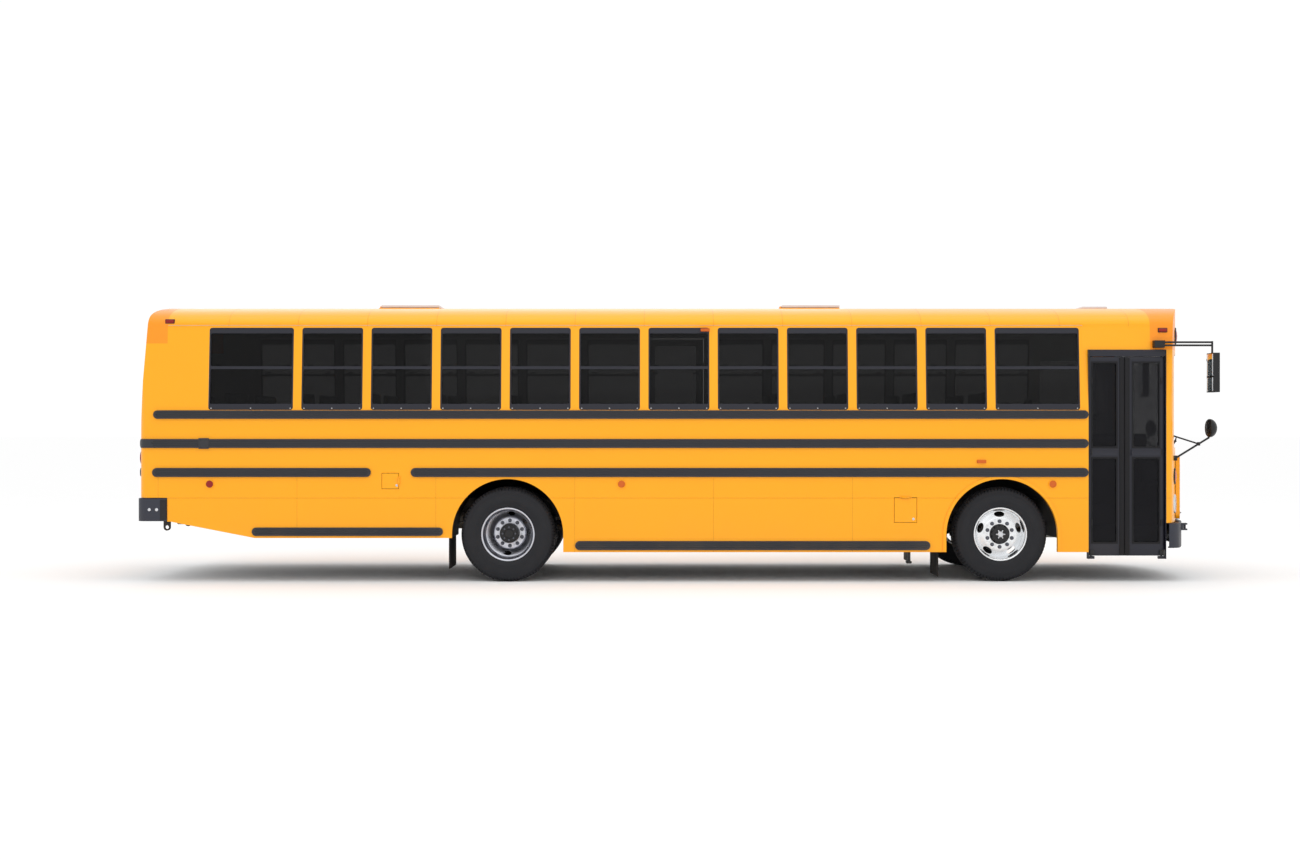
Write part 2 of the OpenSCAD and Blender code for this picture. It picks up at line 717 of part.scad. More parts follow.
module rear_axle() {
  drive_y = rear_track_y - twin_gap / 2 - 137;
  color("black") {
    rod_y(62, rear_axle_x, -rear_track_y + 2, rear_track_y - 2, axle_z);
    both_sides() {
      rod_y(72, rear_axle_x, 150, drive_y - 30, axle_z);
      rod_y(spindle_r, rear_axle_x, rear_track_y - 3, rear_track_y + 130, axle_z);
      block([rear_axle_x - 70, 465, axle_z + 20], [rear_axle_x + 70, 555, axle_z + 90]);
    }
    translate([rear_axle_x, 0, axle_z]) sphere(r = 190);
    rod_x(95, rear_axle_x, rear_axle_x + 320, 0, axle_z);
    shaft_dx = engine_hole[0] - rear_axle_x - 300;
    shaft_dz = 150;
    translate([rear_axle_x + 300, 0, axle_z]) rotate([0, 90 - atan2(shaft_dz, shaft_dx), 0])
      cylinder(r = 45, h = sqrt(shaft_dx * shaft_dx + shaft_dz * shaft_dz) + 8);
  }
}
// One leaf pack: an arc seen from the side, thicker in the middle
module leaf_2d(len, sag, t) {
  top = [for (i = [-10 : 10]) [i * len / 20, sag * pow(i / 10, 2) + t / 2 - (t / 3) * abs(i) / 10]];
  low = [for (i = [10 : -1 : -10]) [i * len / 20, sag * pow(i / 10, 2) - t / 2 + (t / 3) * abs(i) / 10]];
  polygon(concat(top, low));
}
module leaf_springs() {
  front_len = 1440;
  rear_len = 1560;
  color("dimgray") both_sides() {
    along_y(rail_y - 52, rail_y + 20) {
      translate([front_axle_x, 505]) leaf_2d(front_len, 110, 60);
      translate([front_axle_x - 75, 465]) square([150, 40]);
      for (s = [-1, 1]) translate([front_axle_x + s * (front_len / 2 - 25) - 25, 590])
        square([50, rail_z0 - 590]);
    }
    along_y(rail_y + 38, rail_y + 118) translate([rear_axle_x, 655]) leaf_2d(rear_len, 120, 70);
    block([rear_axle_x - 75, rail_y + 38, axle_z + 90], [rear_axle_x + 75, rail_y + 118, 640]);
    for (s = [-1, 1]) block([rear_axle_x + s * (rear_len / 2 - 25) - 25, rail_y, 740],
                            [rear_axle_x + s * (rear_len / 2 - 25) + 25, rail_y + 118, 840]);
  }
}
module bumper_plan(d) {
  plan_2d(hw + 8, 67, 150, d);
}
module front_bumper() {
  color("black") {
    difference() {
      along_z(378, 651) bumper_plan(0);
      along_z(300, 700) plan_2d(hw - 40, 0, 110, 0);
      along_z(392, 637) bumper_plan(12);
      block([rear_x - 200, -2000, 300], [door_x1 + 30, 2000, 700]);
    }
    intersection() {
      along_z(392, 637) bumper_plan(11);
      difference() {
        for (y = [-rail_y - 10, rail_y - 62])
          block([door_x1 + 30, y, 392], [nose_x + 60, y + 72, 637]);
        along_z(300, 700) plan_2d(hw, 0, front_corner_r, 0);
      }
    }
    // Bracket and pin of the crossing arm
    difference() {
      block([arm_x - 70, arm_y - 30, 560], [arm_x + 22, arm_y + 30, 640]);
      block([arm_x - 26, arm_y - 31, 578], [arm_x + 23, arm_y + 31, 622]);
      along_z(300, 700) bumper_plan(-0.01);
    }
    rod_z(7, arm_x, arm_y, 570, 630);
  }
}
module rear_bumper() {
  color("midnightblue") difference() {
    along_z(bumper_low, bumper_top) difference() {
      translate([-bumper_grow, 0]) plan_2d(hw + 10, 0, front_corner_r, 0);
      translate([tail_x - 2, -2000]) square([20000, 4000]);
    }
    along_z(bumper_low + bumper_t, bumper_top - bumper_t)
      translate([-bumper_grow, 0]) plan_2d(hw + 10, 0, front_corner_r, bumper_t);
    along_z(bumper_low - 1, bumper_top + 1) translate([rear_x + 60, 80 - hw]) square([400, 2 * hw - 160]);
    for (s = [-1, 1]) block([rear_x + bumper_t, s * (rail_y - rail_flange / 2) - 40, 600],
                            [tail_x, s * (rail_y - rail_flange / 2) + 40, bumper_top + 2]);
  }
}

// ---- Outside fittings ----
module mirrors() {
  ax = door_x1 - 75;
  color("black") both_sides() {
    difference() {
      block([ax - 65, -hw - 30, 2600], [ax + 50, -hw + 70, 2680]);
      form(0, 0, nose_x);
    }
    for (z = [2625, 2660]) rod_x(11, ax + 30, mirror_head_x[0] + 60, -hw - 22, z);
    rod_z(11, mirror_head_x[0] + 60, -hw - 22, 2230, 2672);
    for (z = [2230, 2440]) rod_y(11, mirror_head_x[0] + 60, -hw - 120, -hw - 22, z);
    block([mirror_head_x[0] + 40, -hw - 120, 2105], [mirror_head_x[1] - 50, -hw + 95, 2540]);
    cx = mirror_head_x[1] + 22;
    translate([cx - 82, -1050, 1708]) rotate([0, 90, 0]) rotate_extrude($fn = 64)
      polygon(concat([[0, -24], [90, -24], [103, -10]], [for (a = [0 : 9 : 90]) [103 * cos(a), 76 * sin(a)]]));
    rod_between([bow_at(1050, 0) + 16, -1050, 1372], [cx - 94, -1050, 1600], 11);
    rod_z(11, cx - 94, -1050, 1592, 1700);
    difference() {
      block([bow_at(1050, 0) - 30, -1080, 1345], [bow_at(1050, 0) + 26, -1020, 1400]);
      form(0, 0, nose_x);
    }
  }
}
module on_front(y, z, r, depth) {
  difference() {
    rod_x(r, bow_at(abs(y), 0) - 60, bow_at(abs(y), 0) + depth, y, z);
    form(0, 0, nose_x + 10);
  }
}
module on_rear(y, z, r, depth) {
  difference() {
    rod_x(r, rear_face(z) - depth, rear_face(z) + 60, y, z);
    form(0, rear_x - 10, 0);
  }
}
module on_side(x, z, w, h, depth) {
  difference() {
    block([x - w / 2, -side_y(z) - depth, z - h / 2], [x + w / 2, -side_y(z) + 30, z + h / 2]);
    side_strip(x - w, x + w, z - h, z + h, 0, 100);
  }
}
module head_lamps() {
  color("white") both_sides() on_front(1000, 860, 95, 28);
}
module amber_lamps() {
  color("orange") side_markers();
  color("orange") both_sides() {
    on_front(1000, 1169, 78, 40);
    on_front(640, 2745, 85, 22);
    on_rear(640, 2790, 85, 22);
    on_side(front_axle_x - 228, 1337, 98, 35, 22);
    for (x = [rear_axle_x + 1265, front_axle_x + 563]) rod_y(42, x, -hw - 12, -hw, 1087);
  }
}
module side_markers() {
  on_side(rear_axle_x + 2194, 2800, 98, 34, 30);
  mirror([0, 1, 0]) on_side(exit_x1 + 62, 2800, 98, 34, 30);
}
module red_lamps() {
  color("red") both_sides() {
    on_front(900, 2745, 85, 22);
    on_rear(900, 2790, 85, 22);
    on_rear(1000, 1378, 85, 26);
    on_rear(760, 1050, 60, 20);
    rod_y(42, rear_x + 793, -hw - 12, -hw, 1087);
  }
}

// ---- Inside ----
function row_x(k) = row_start + k * pitch;
function left_row(k) = row_x(k) + bench_d + 20 < exit_x0 || row_x(k) - 100 > exit_x1;
module bench_place() {
  for (side = [0, 1]) mirror([0, side, 0])
    for (k = [0 : rows - 1]) if (side == 0 || left_row(k)) translate([row_x(k), 0, 0]) children();
}
module bench_pads() {
  z = floor_z + seat_h;
  color("darkslategray") bench_place() along_y(-hw + wall_t + 30, -aisle_half) {
    pane([10, z - pad_t + 0.3], [10 + bench_d, z], 40);
    polygon([[-50, z - pad_t + 0.3], [9, z - pad_t + 0.3], [9, z], [-25, floor_z + seat_back_h - 20],
             [-45, floor_z + seat_back_h], [-75, floor_z + seat_back_h], [-95, floor_z + seat_back_h - 20],
             [-60, z - pad_t + 60]]);
  }
}
module bench_frames() {
  z = floor_z + seat_h - pad_t;
  color("gray") bench_place() {
    for (x = [-35, 300]) {
      block([x, -hw + wall_t, z - 30], [x + 30, -aisle_half - 30, z]);
      block([x, -aisle_half - 60, floor_z], [x + 30, -aisle_half - 30, z]);
    }
    block([-60, -aisle_half - 70, floor_z], [355, -aisle_half - 20, floor_z + 6]);
  }
}
module driver_seat() {
  x = front_axle_x + 760;
  color("dimgray") {
    block([x + 60, 560, floor_z], [x + 400, 840, floor_z + 300]);
    translate([0, 950, 0]) rotate([90, 0, 0]) linear_extrude(500) translate([x, floor_z + 300])
      polygon([[20, 0], [500, 0], [520, 60], [500, 120], [120, 110], [40, 700], [-60, 700], [-30, 0]]);
  }
}
module dashboard() {
  color("dimgray") {
    intersection() {
      form(wall_t + 0.2, corner_x - 210, nose_x);
      block([corner_x - 200, engine_half + 22, floor_z + 260], [nose_x, hw, floor_z + 560]);
    }
    intersection() {
      form(wall_t + 0.2, corner_x - 60, nose_x);
      block([corner_x + 120, -1000, floor_z + 240], [nose_x, engine_half, floor_z + 330]);
    }
    translate(wheel_pos) rotate([0, -wheel_tilt, 0]) {
      translate([0, 0, -520]) cylinder(r = 32, h = 500);
      cylinder(r = 12, h = 60, center = true);
    }
  }
}
module engine_cover() {
  color("gray") difference() {
    block([engine_hole[0] - 10, -engine_half - 10, floor_z],
          [engine_hole[1], engine_half + 10, floor_z + 340]);
    block([engine_hole[0] + 4, -engine_half + 4, floor_z - 1],
          [engine_hole[1] - 14, engine_half - 4, floor_z + 325]);
  }
}
module engine() {
  color("gray") {
    block([engine_hole[0] + 10, -330, 560], [engine_hole[1] - 30, 330, floor_z + 300]);
    both_sides() block([engine_hole[0] + 500, 329, 720], [engine_hole[0] + 600, rail_y - rail_t, 800]);
  }
}
module exhaust() {
  y = 215;
  muffler_x = [rear_axle_x - 1750, rear_axle_x - 650];
  color("gray") {
    rod_x(45, muffler_x[1] - 5, engine_hole[0] + 10, y, 652);
    rod_x(115, muffler_x[0], muffler_x[1], y, 620);
    rod_x(45, rear_x + 10, muffler_x[0] + 5, y, 600);
  }
}
module fuel_tank() {
  color("black") {
    along_x(rear_axle_x - 2480, rear_axle_x - 1080)
      translate([-1130, 520]) offset(r = 50, $fn = 32) translate([50, 50]) square([560, 280]);
    rod_z(30, (fuel_x[0] + fuel_x[1]) / 2, -1110, 890, 1020);
  }
}
module mud_flaps() {
  color("black") both_sides() {
    block([rear_axle_x - liner_r - 16, -hw + wall_t + 1, 140], [rear_axle_x - liner_r - 6, -590, rail_z1]);
    block([rear_axle_x - liner_r - 30, -1165, rail_z1 - 40],
          [rear_axle_x - liner_r - 6, -590, floor_z - floor_t]);
    block([front_axle_x - liner_r - 66, -1165, 55], [front_axle_x - liner_r - 56, -700, rail_z1]);
    block([front_axle_x - liner_r - 80, -1165, rail_z1 - 40],
          [front_axle_x - liner_r - 56, -700, floor_z - floor_t]);
  }
}

// ---- Entrance door ----
function leaf_pivot(front) = front ? door_x1 - pivot_in : door_x0 + pivot_in;
module door_frame() {
  color("midnightblue") {
    difference() {
      union() {
        block([door_x0, leaf_y - 28, door_z1 + 6], [door_x1, leaf_y + 50, door_top]);
        for (x = [door_x0, door_x1 - 6]) block([x, -hw + 4, 255], [x + 6, leaf_y + 22, door_top]);
        for (x = [door_x0, door_x1 - 75]) block([x, leaf_y - 26, 255], [x + 75, leaf_y + 22, door_z0 - 6]);
      }
      for (f = [false, true]) rod_z(10 + pin_clear, leaf_pivot(f), leaf_y, 200, door_z1 + 40);
    }
  }
}
module entrance_leaf(front) {
  x0 = front ? door_mid + 3 : door_x0 + leaf_gap;
  x1 = front ? door_x1 - leaf_gap : door_mid - 3;
  gx = front ? [door_mid + 98, door_x1 - 70] : [door_x0 + 51, door_mid - 87];
  color("midnightblue") {
    difference() {
      block([x0, leaf_y - leaf_t / 2, door_z0], [x1, leaf_y + leaf_t / 2, door_z1]);
      along_y(-hw, -hw + 200) {
        pane([gx[0], 437], [gx[1], 1372], 20);
        pane([gx[0], 1500], [gx[1], 2436], 20);
      }
    }
    rod_z(10, leaf_pivot(front), leaf_y, 258, door_z0 + 5);
    rod_z(10, leaf_pivot(front), leaf_y, door_z1 - 5, door_z1 + 34);
  }
}
module entrance_glass(front) {
  gx = front ? [door_mid + 98, door_x1 - 70] : [door_x0 + 51, door_mid - 87];
  color("darkslategray") along_y(leaf_y - glass_t / 2, leaf_y + glass_t / 2) {
    pane([gx[0], 437], [gx[1], 1372], 20);
    pane([gx[0], 1500], [gx[1], 2436], 20);
  }
}

// ---- Emergency doors, lids and flaps ----
module rear_door() {
  color("orange") {
    difference() {
      skin(rear_x - 50, rear_split_x + 80);
      block([rear_x - 60, back_half, 0], [rear_split_x + 90, hw + 9, top_z + 9]);
      block([rear_x - 60, -hw - 9, 0], [rear_split_x + 90, -back_half, top_z + 9]);
      block([rear_x - 60, -hw, back_z1], [rear_split_x + 90, hw, top_z + 9]);
      block([rear_x - 60, -hw, -400], [rear_split_x + 90, hw, back_z0]);
      along_x(rear_x - 50, rear_split_x) for (p = back_panes) pane([p[0], p[1]], [p[2], p[3]]);
    }
    for (z = [1250, 1800, 2350]) at_rear_hinge(z) hinge_leaf(16 + rear_face(z) - rear_x);
  }
}
module rear_door_glass() {
  color("darkslategray") intersection() {
    skin(rear_x - 50, rear_split_x + 80, 16, 16 + glass_t);
    along_x(rear_x - 50, rear_split_x + 80) for (p = back_panes) pane([p[0], p[1]], [p[2], p[3]]);
  }
}
module side_door() {
  color("orange") {
    mirror([0, 1, 0]) difference() {
      union() {
        side_strip(exit_x0 + door_clear, exit_x1 - door_clear, exit_z0, exit_z1);
        along_y(-hw - rail_proud, -hw) for (z = [upper_rail, middle_rail, lower_rail])
          translate([exit_x0 + door_clear, z[0]])
            square([exit_x1 - exit_x0 - 2 * door_clear - 50, z[1] - z[0]]);
      }
      along_y(-hw - 30, 0) pane([exit_mid - 259, window_z0 + 40], [exit_mid + 259, window_z1 - 80]);
    }
    for (z = [1250, 1700]) at_side_hinge(z) hinge_leaf(16);
    at_side_hinge(2500) hinge_leaf(16 + hw - side_y(2500));
  }
}
module side_door_glass() {
  color("darkslategray") mirror([0, 1, 0]) intersection() {
    side_strip(exit_x0, exit_x1, window_z0 + 40, window_z1 - 80, 16, 16 + glass_t);
    along_y(-hw - 30, 0) pane([exit_mid - 259, window_z0 + 40], [exit_mid + 259, window_z1 - 80]);
  }
}
module front_hood() {
  color("orange") {
    intersection() {
      along_z(hood_z[0], hood_z[1]) difference() {
        plan_2d(hw + 50, 50, 170, 0);
        plan_2d(hw + 5, 5, 125, 0);
      }
      along_x(corner_x, nose_x + 60) pane([-hood_half, hood_z[0]], [hood_half, hood_z[1]], 60);
    }
    for (y = [-150, 150]) at_hood_hinge(y) difference() {
      union() {
        cylinder(r = 12, h = 80, center = true);
        translate([0, -4, -36]) cube([45, 8, 72]);
      }
      cylinder(r = 7 + pin_clear, h = 90, center = true);
    }
  }
}
module roof_hatch(x) {
  color("whitesmoke") {
    block([x, -hatch_half, hatch_z], [x + hatch_len, hatch_half, hatch_z + 27]);
    for (y = [-200, 200]) at_hatch_hinge(x, y) difference() {
      union() {
        cylinder(r = 9, h = 60, center = true);
        translate([0, -4, -26]) cube([40, 8, 52]);
      }
      cylinder(r = 4 + pin_clear, h = 62, center = true);
    }
  }
}
module stop_arm() {
  r = 225 / cos(22.5);
  color("red") {
    translate([stop_x - 45 - 225, stop_y, 1375]) rotate([90, 0, 0]) rotate([0, 0, 22.5])
      cylinder(r = r, h = 12, center = true, $fn = 8);
    difference() {
      union() {
        rod_z(16, stop_x, stop_y, 1314, 1436);
        block([stop_x - 60, stop_y - 5, 1318], [stop_x, stop_y + 5, 1432]);
      }
      rod_z(8 + pin_clear, stop_x, stop_y, 1300, 1450);
    }
  }
}
module crossing_arm() {
  a0 = asin(arm_y / arm_ring_r);
  color("gold") {
    difference() {
      union() {
        rod_z(14, arm_x, arm_y, 580, 620);
        translate([bow_x, 0, arm_z]) rotate([0, 0, a0]) rotate_extrude(angle = 36, $fn = 256)
          translate([arm_ring_r, 0]) circle(r = 10);
      }
      rod_z(7 + pin_clear, arm_x, arm_y, 560, 640);
    }
  }
}
module flap_door(x, z) {
  block([x[0] + 5, -hw, z[0] + 5], [x[1] - 5, -hw + 20, z[1] - 5]);
}
module fuel_door() {
  color("orange") {
    flap_door(fuel_x, fuel_z);
    at_fuel_hinge() hinge_leaf(10, 3, 60);
  }
}
module battery_door() {
  color("orange") {
    flap_door(battery_x, battery_z);
    at_battery_hinge() hinge_leaf(10, 3, 90);
  }
}

// ---- Steering ----
module knuckle() {
  pin_gap = 62;
  color("dimgray") {
    difference() {
      union() {
        for (s = [-1, 1]) hull() {
          rod_z(40, 0, kingpin_y, axle_z + (s > 0 ? pin_gap : -pin_gap - 30),
                axle_z + (s > 0 ? pin_gap + 30 : -pin_gap), $fn = 32);
          block([-45, kingpin_y + 48, axle_z + (s > 0 ? pin_gap : -pin_gap - 30)],
                [45, kingpin_y + 74, axle_z + (s > 0 ? pin_gap + 30 : -pin_gap)]);
        }
        block([-45, kingpin_y + 48, axle_z - pin_gap - 30], [45, kingpin_y + 74, axle_z + pin_gap + 30]);
        block([-steer_arm, kingpin_y - 14, steer_z + 28], [0, kingpin_y + 20, steer_z + 52]);
        rod_z(20, -steer_arm, kingpin_y, steer_z + 14, steer_z + 52);
      }
      rod_z(22 + pin_clear, 0, kingpin_y, 300, 700);
    }
    rod_y(spindle_r, 0, kingpin_y + 73, front_track_y + 112, axle_z);
  }
}
module knuckle_left() {
  translate([front_axle_x, 0, 0]) knuckle();
}
module knuckle_right() {
  translate([front_axle_x, 0, 0]) mirror([0, 1, 0]) knuckle();
}
module tie_rod() {
  color("dimgray") {
    rod_y(16, steer_x, -kingpin_y + 10, kingpin_y - 10, steer_z - 10);
    for (s = [-1, 1]) {
      rod_z(22, steer_x, s * kingpin_y, steer_z - 28, steer_z + 13.7);
    }
  }
}
module steering_wheel() {
  color("black") translate(wheel_pos) rotate([0, -wheel_tilt, 0]) {
    rotate_extrude($fn = 96) translate([215, 0]) circle(r = 15);
    difference() {
      cylinder(r = 40, h = 36, center = true);
      cylinder(r = 12 + pin_clear, h = 80, center = true);
    }
    for (a = [90, 210, 330]) rotate([0, 0, a]) translate([30, -12, -6]) cube([180, 24, 12]);
  }
}

// ---- Wheels, modelled along Y with the outside towards -Y ----
module spin_y(x, y) {
  translate([x, y, axle_z]) rotate([90, 0, 0]) rotate_extrude($fn = 128) children();
}
// Half section of a tyre: [radius, place along the axle]
module tyre_2d() {
  h = tyre_w / 2;
  polygon([[rim_r, -rim_w / 2 + 8], [rim_r + 40, -h + 12], [rim_r + 95, -h], [rim_r + 150, -h + 4],
           [tyre_r - 35, -h + 14], [tyre_r - 10, -h + 34], [tyre_r - 2, -h + 60], [tyre_r, -h + 90],
           [tyre_r, h - 90], [tyre_r - 2, h - 60], [tyre_r - 10, h - 34], [tyre_r - 35, h - 14],
           [rim_r + 150, h - 4], [rim_r + 95, h], [rim_r + 40, h - 12], [rim_r, rim_w / 2 - 8]]);
}
module rim_band_2d() {
  w = rim_w / 2;
  polygon([[rim_r, -w + 8], [rim_r + 4, -w + 1], [rim_r + 12, -w - 4], [rim_r + 12, -w - 9], [rim_r - 2, -w - 9],
           [rim_r - 14, -w + 10], [rim_r - 30, -30], [rim_r - 30, 30], [rim_r - 14, w - 10], [rim_r - 2, w + 9],
           [rim_r + 12, w + 9], [rim_r + 12, w + 4], [rim_r + 4, w - 1], [rim_r, w - 8]]);
}
module hand_holes(n, y0, y1) {
  for (i = [0 : n - 1]) rotate([0, 0, 360 * (i + 0.5) / n]) translate([222, 0, y0]) {
    cylinder(r = 26, h = y1 - y0);
  }
}
// Front wheel: dished outwards, with hub, drum and bore
module front_rim(side) {
  disc = 70;
  inner = front_track_y - kingpin_y - 82;
  color("silver") translate([front_axle_x, side * front_track_y, axle_z]) rotate([side * -90, 0, 0])
  difference() {
    union() {
      rotate_extrude($fn = 128) {
        rim_band_2d();
        polygon([[60, disc - 14], [180, disc - 14], [rim_r - 26, 20], [rim_r - 20, 20], [rim_r - 16, 32],
                 [185, disc], [60, disc]]);
      }
      cylinder(r = hub_r, h = disc + 62);
      translate([0, 0, -inner + 20]) difference() {
        cylinder(r = drum_r, h = disc - 14 + inner - 19);
        translate([0, 0, -1]) cylinder(r = drum_r - 14, h = disc - 40 + inner - 19);
      }
      translate([0, 0, -inner + 4]) cylinder(r = 70, h = inner + 10);
    }
    translate([0, 0, -inner - 1]) cylinder(r = spindle_r + pin_clear, h = inner + 115);
    hand_holes(5, -10, disc + 5);
  }
}
module rear_rims(side) {
  seat = twin_gap / 2;
  color("silver") translate([rear_axle_x, side * rear_track_y, axle_z]) rotate([side * -90, 0, 0])
  difference() {
    union() {
      for (m = [0, 1]) mirror([0, 0, m]) {
        rotate_extrude($fn = 128) {
          translate([0, seat]) rim_band_2d();
          polygon([[100, 0], [180, 0], [rim_r - 14, 76], [rim_r - 6, 64], [rim_r - 4, 80], [rim_r - 20, 90],
                   [175, 13], [100, 13]]);
        }
      }
      difference() {
        translate([0, 0, -250]) cylinder(r = drum_r, h = 250);
        translate([0, 0, -251]) cylinder(r = drum_r - 14, h = 225);
      }
      translate([0, 0, -30]) cylinder(r = hub_r, h = 190);
    }
    translate([0, 0, -31]) cylinder(r = 62 + pin_clear, h = 31 + 2);
    translate([0, 0, -31]) cylinder(r = spindle_r + pin_clear, h = 170);
    hand_holes(5, -60, 60);
  }
}
module front_left_tyre() { color("dimgray") spin_y(front_axle_x, front_track_y) tyre_2d(); }
module front_right_tyre() { color("dimgray") spin_y(front_axle_x, -front_track_y) tyre_2d(); }
module twin_tyres(side) {
  color("dimgray") for (s = [-1, 1]) spin_y(rear_axle_x, side * rear_track_y + s * twin_gap / 2) tyre_2d();
}

side_wall_right();
side_wall_left();
roof();
front_cap();
front_wall();
rear_cap();
rear_wall();
floor();
wheel_housings();
window_frames();
window_glass();
windshield();
rub_rails();
chassis_frame();
front_axle();
rear_axle();
leaf_springs();
front_bumper();
rear_bumper();
mirrors();
head_lamps();
amber_lamps();
red_lamps();
bench_pads();
bench_frames();
driver_seat();
dashboard();
engine_cover();
engine();
exhaust();
fuel_tank();
mud_flaps();
door_frame();
knuckle_left();
knuckle_right();
tie_rod();
front_left_tyre();
front_rim(1);  // front_left_rim
front_right_tyre();
front_rim(-1);  // front_right_rim
twin_tyres(1);  // rear_left_tyres
rear_rims(1);  // rear_left_rims
twin_tyres(-1);  // rear_right_tyres
rear_rims(-1);  // rear_right_rims
steering_wheel();
entrance_leaf(false);  // entrance_leaf_rear
entrance_glass(false);  // entrance_glass_rear
entrance_leaf(true);  // entrance_leaf_front
entrance_glass(true);  // entrance_glass_front
rear_door();
rear_door_glass();
side_door();
side_door_glass();
front_hood();
roof_hatch(hatch_x[0]);  // roof_hatch_rear
roof_hatch(hatch_x[1]);  // roof_hatch_front
stop_arm();
crossing_arm();
fuel_door();
battery_door();
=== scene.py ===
import json
import math

import bpy
from bpy.props import FloatProperty, FloatVectorProperty, IntProperty, PointerProperty
from mathutils import Matrix, Vector

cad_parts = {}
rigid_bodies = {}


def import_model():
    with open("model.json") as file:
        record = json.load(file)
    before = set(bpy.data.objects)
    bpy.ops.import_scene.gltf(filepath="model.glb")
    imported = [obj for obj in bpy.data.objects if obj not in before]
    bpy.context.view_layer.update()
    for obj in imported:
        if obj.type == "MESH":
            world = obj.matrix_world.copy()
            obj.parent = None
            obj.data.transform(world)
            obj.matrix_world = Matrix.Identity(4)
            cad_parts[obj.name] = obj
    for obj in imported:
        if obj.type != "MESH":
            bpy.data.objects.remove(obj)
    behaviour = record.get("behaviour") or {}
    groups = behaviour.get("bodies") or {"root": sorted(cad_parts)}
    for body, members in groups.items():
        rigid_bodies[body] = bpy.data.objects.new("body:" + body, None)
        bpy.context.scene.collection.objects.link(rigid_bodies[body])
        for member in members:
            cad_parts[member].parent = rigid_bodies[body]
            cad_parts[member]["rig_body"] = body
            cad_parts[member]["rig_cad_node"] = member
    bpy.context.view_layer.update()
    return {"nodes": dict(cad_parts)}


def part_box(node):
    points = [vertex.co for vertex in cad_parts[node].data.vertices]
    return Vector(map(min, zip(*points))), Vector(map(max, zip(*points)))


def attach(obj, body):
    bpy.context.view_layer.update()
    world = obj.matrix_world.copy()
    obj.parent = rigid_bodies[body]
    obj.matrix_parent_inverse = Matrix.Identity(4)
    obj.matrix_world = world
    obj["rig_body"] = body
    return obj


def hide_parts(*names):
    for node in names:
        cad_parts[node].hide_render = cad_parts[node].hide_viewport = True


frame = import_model()
NODES = frame["nodes"]

bl_info = {
    "name": "School Bus",
    "version": (1, 0, 0),
    "blender": (4, 5, 0),
    "location": "View3D > Sidebar > Bus",
    "description": "Finishes a flat-nosed school bus over its CAD frame on a pale stage",
    "category": "Add Mesh",
}


def from_screen(red, green, blue):
    """Gives a colour in parts of 255 as the linear values that a shader takes."""
    return tuple((part / 255 / 12.92) if part / 255 <= 0.04045
                 else ((part / 255 + 0.055) / 1.055) ** 2.4 for part in (red, green, blue))


# ---- Sizes and colours that a user would change ----

def colour_of(name, description, *parts):
    """Makes a colour property from a default in parts of 255."""
    return FloatVectorProperty(
        name=name, description=description, subtype="COLOR", min=0, max=1,
        default=from_screen(*parts))


def length_of(name, description, default, low, high):
    """Makes a length property with its default and its limits in metres."""
    return FloatProperty(
        name=name, description=description, default=default, min=low, max=high, unit="LENGTH")


class BusPaint(bpy.types.PropertyGroup):
    """Colours of the bus."""

    body: colour_of(
        "Body yellow", "Paint of the side sheets, roof and ends", 255, 170, 12)
    cap: colour_of(
        "Cap orange", "Paint of the moulded caps at the roof's ends", 255, 148, 14)
    rail: colour_of(
        "Rail charcoal", "Enamel of the ribbed rub rails", 43, 44, 49)
    trim: colour_of(
        "Trim navy", "Enamel of the window frames, entrance door and bumpers", 27, 28, 39)
    lining: colour_of(
        "Cabin lining", "Paint of the cabin's inner panels", 196, 200, 196)
    vinyl: colour_of(
        "Seat vinyl", "Cover of the benches and the driver's seat", 38, 44, 58)


class BusWheels(bpy.types.PropertyGroup):
    """Sizes of the tyres and wheel discs."""

    lugs: IntProperty(
        name="Tread lugs", description="Blocks round each shoulder of a tyre",
        default=84, min=30, max=100)
    groove: length_of(
        "Tread depth", "Depth of the grooves between the blocks", 0.014, 0.004, 0.02)
    hole_length: length_of(
        "Hand hole length", "Length of a front wheel's oval hand holes", 0.116, 0.06, 0.12)
    nut: length_of(
        "Wheel nut width", "Width of a wheel nut over its flats", 0.033, 0.02, 0.04)


class BusTrim(bpy.types.PropertyGroup):
    """Sizes of the small parts and the seats."""

    rib: length_of(
        "Rail rib depth", "Depth of the grooves rolled into the rub rails", 0.006, 0.002, 0.012)
    screw: length_of(
        "Screw head radius", "Radius of the bright screws along the window sills",
        0.0075, 0.004, 0.012)
    crown: FloatProperty(
        name="Cushion pressure", description="Pressure that swells the bench cushions",
        default=4.0, min=0.0, max=10.0)


class BusStudio(bpy.types.PropertyGroup):
    """Camera and lights."""

    lens: FloatProperty(
        name="Lens", description="Focal length of the camera",
        default=43.456, min=20, max=120, unit="CAMERA")
    sky: FloatProperty(
        name="Surround light", description="Strength of the even white light all round",
        default=1.03, min=0.1, max=2.0)
    key: FloatProperty(
        name="Overhead light", description="Power of the wide lamp over the bus",
        default=300.0, min=0.0, max=5000.0, unit="POWER")


# ---- Shader maths ----

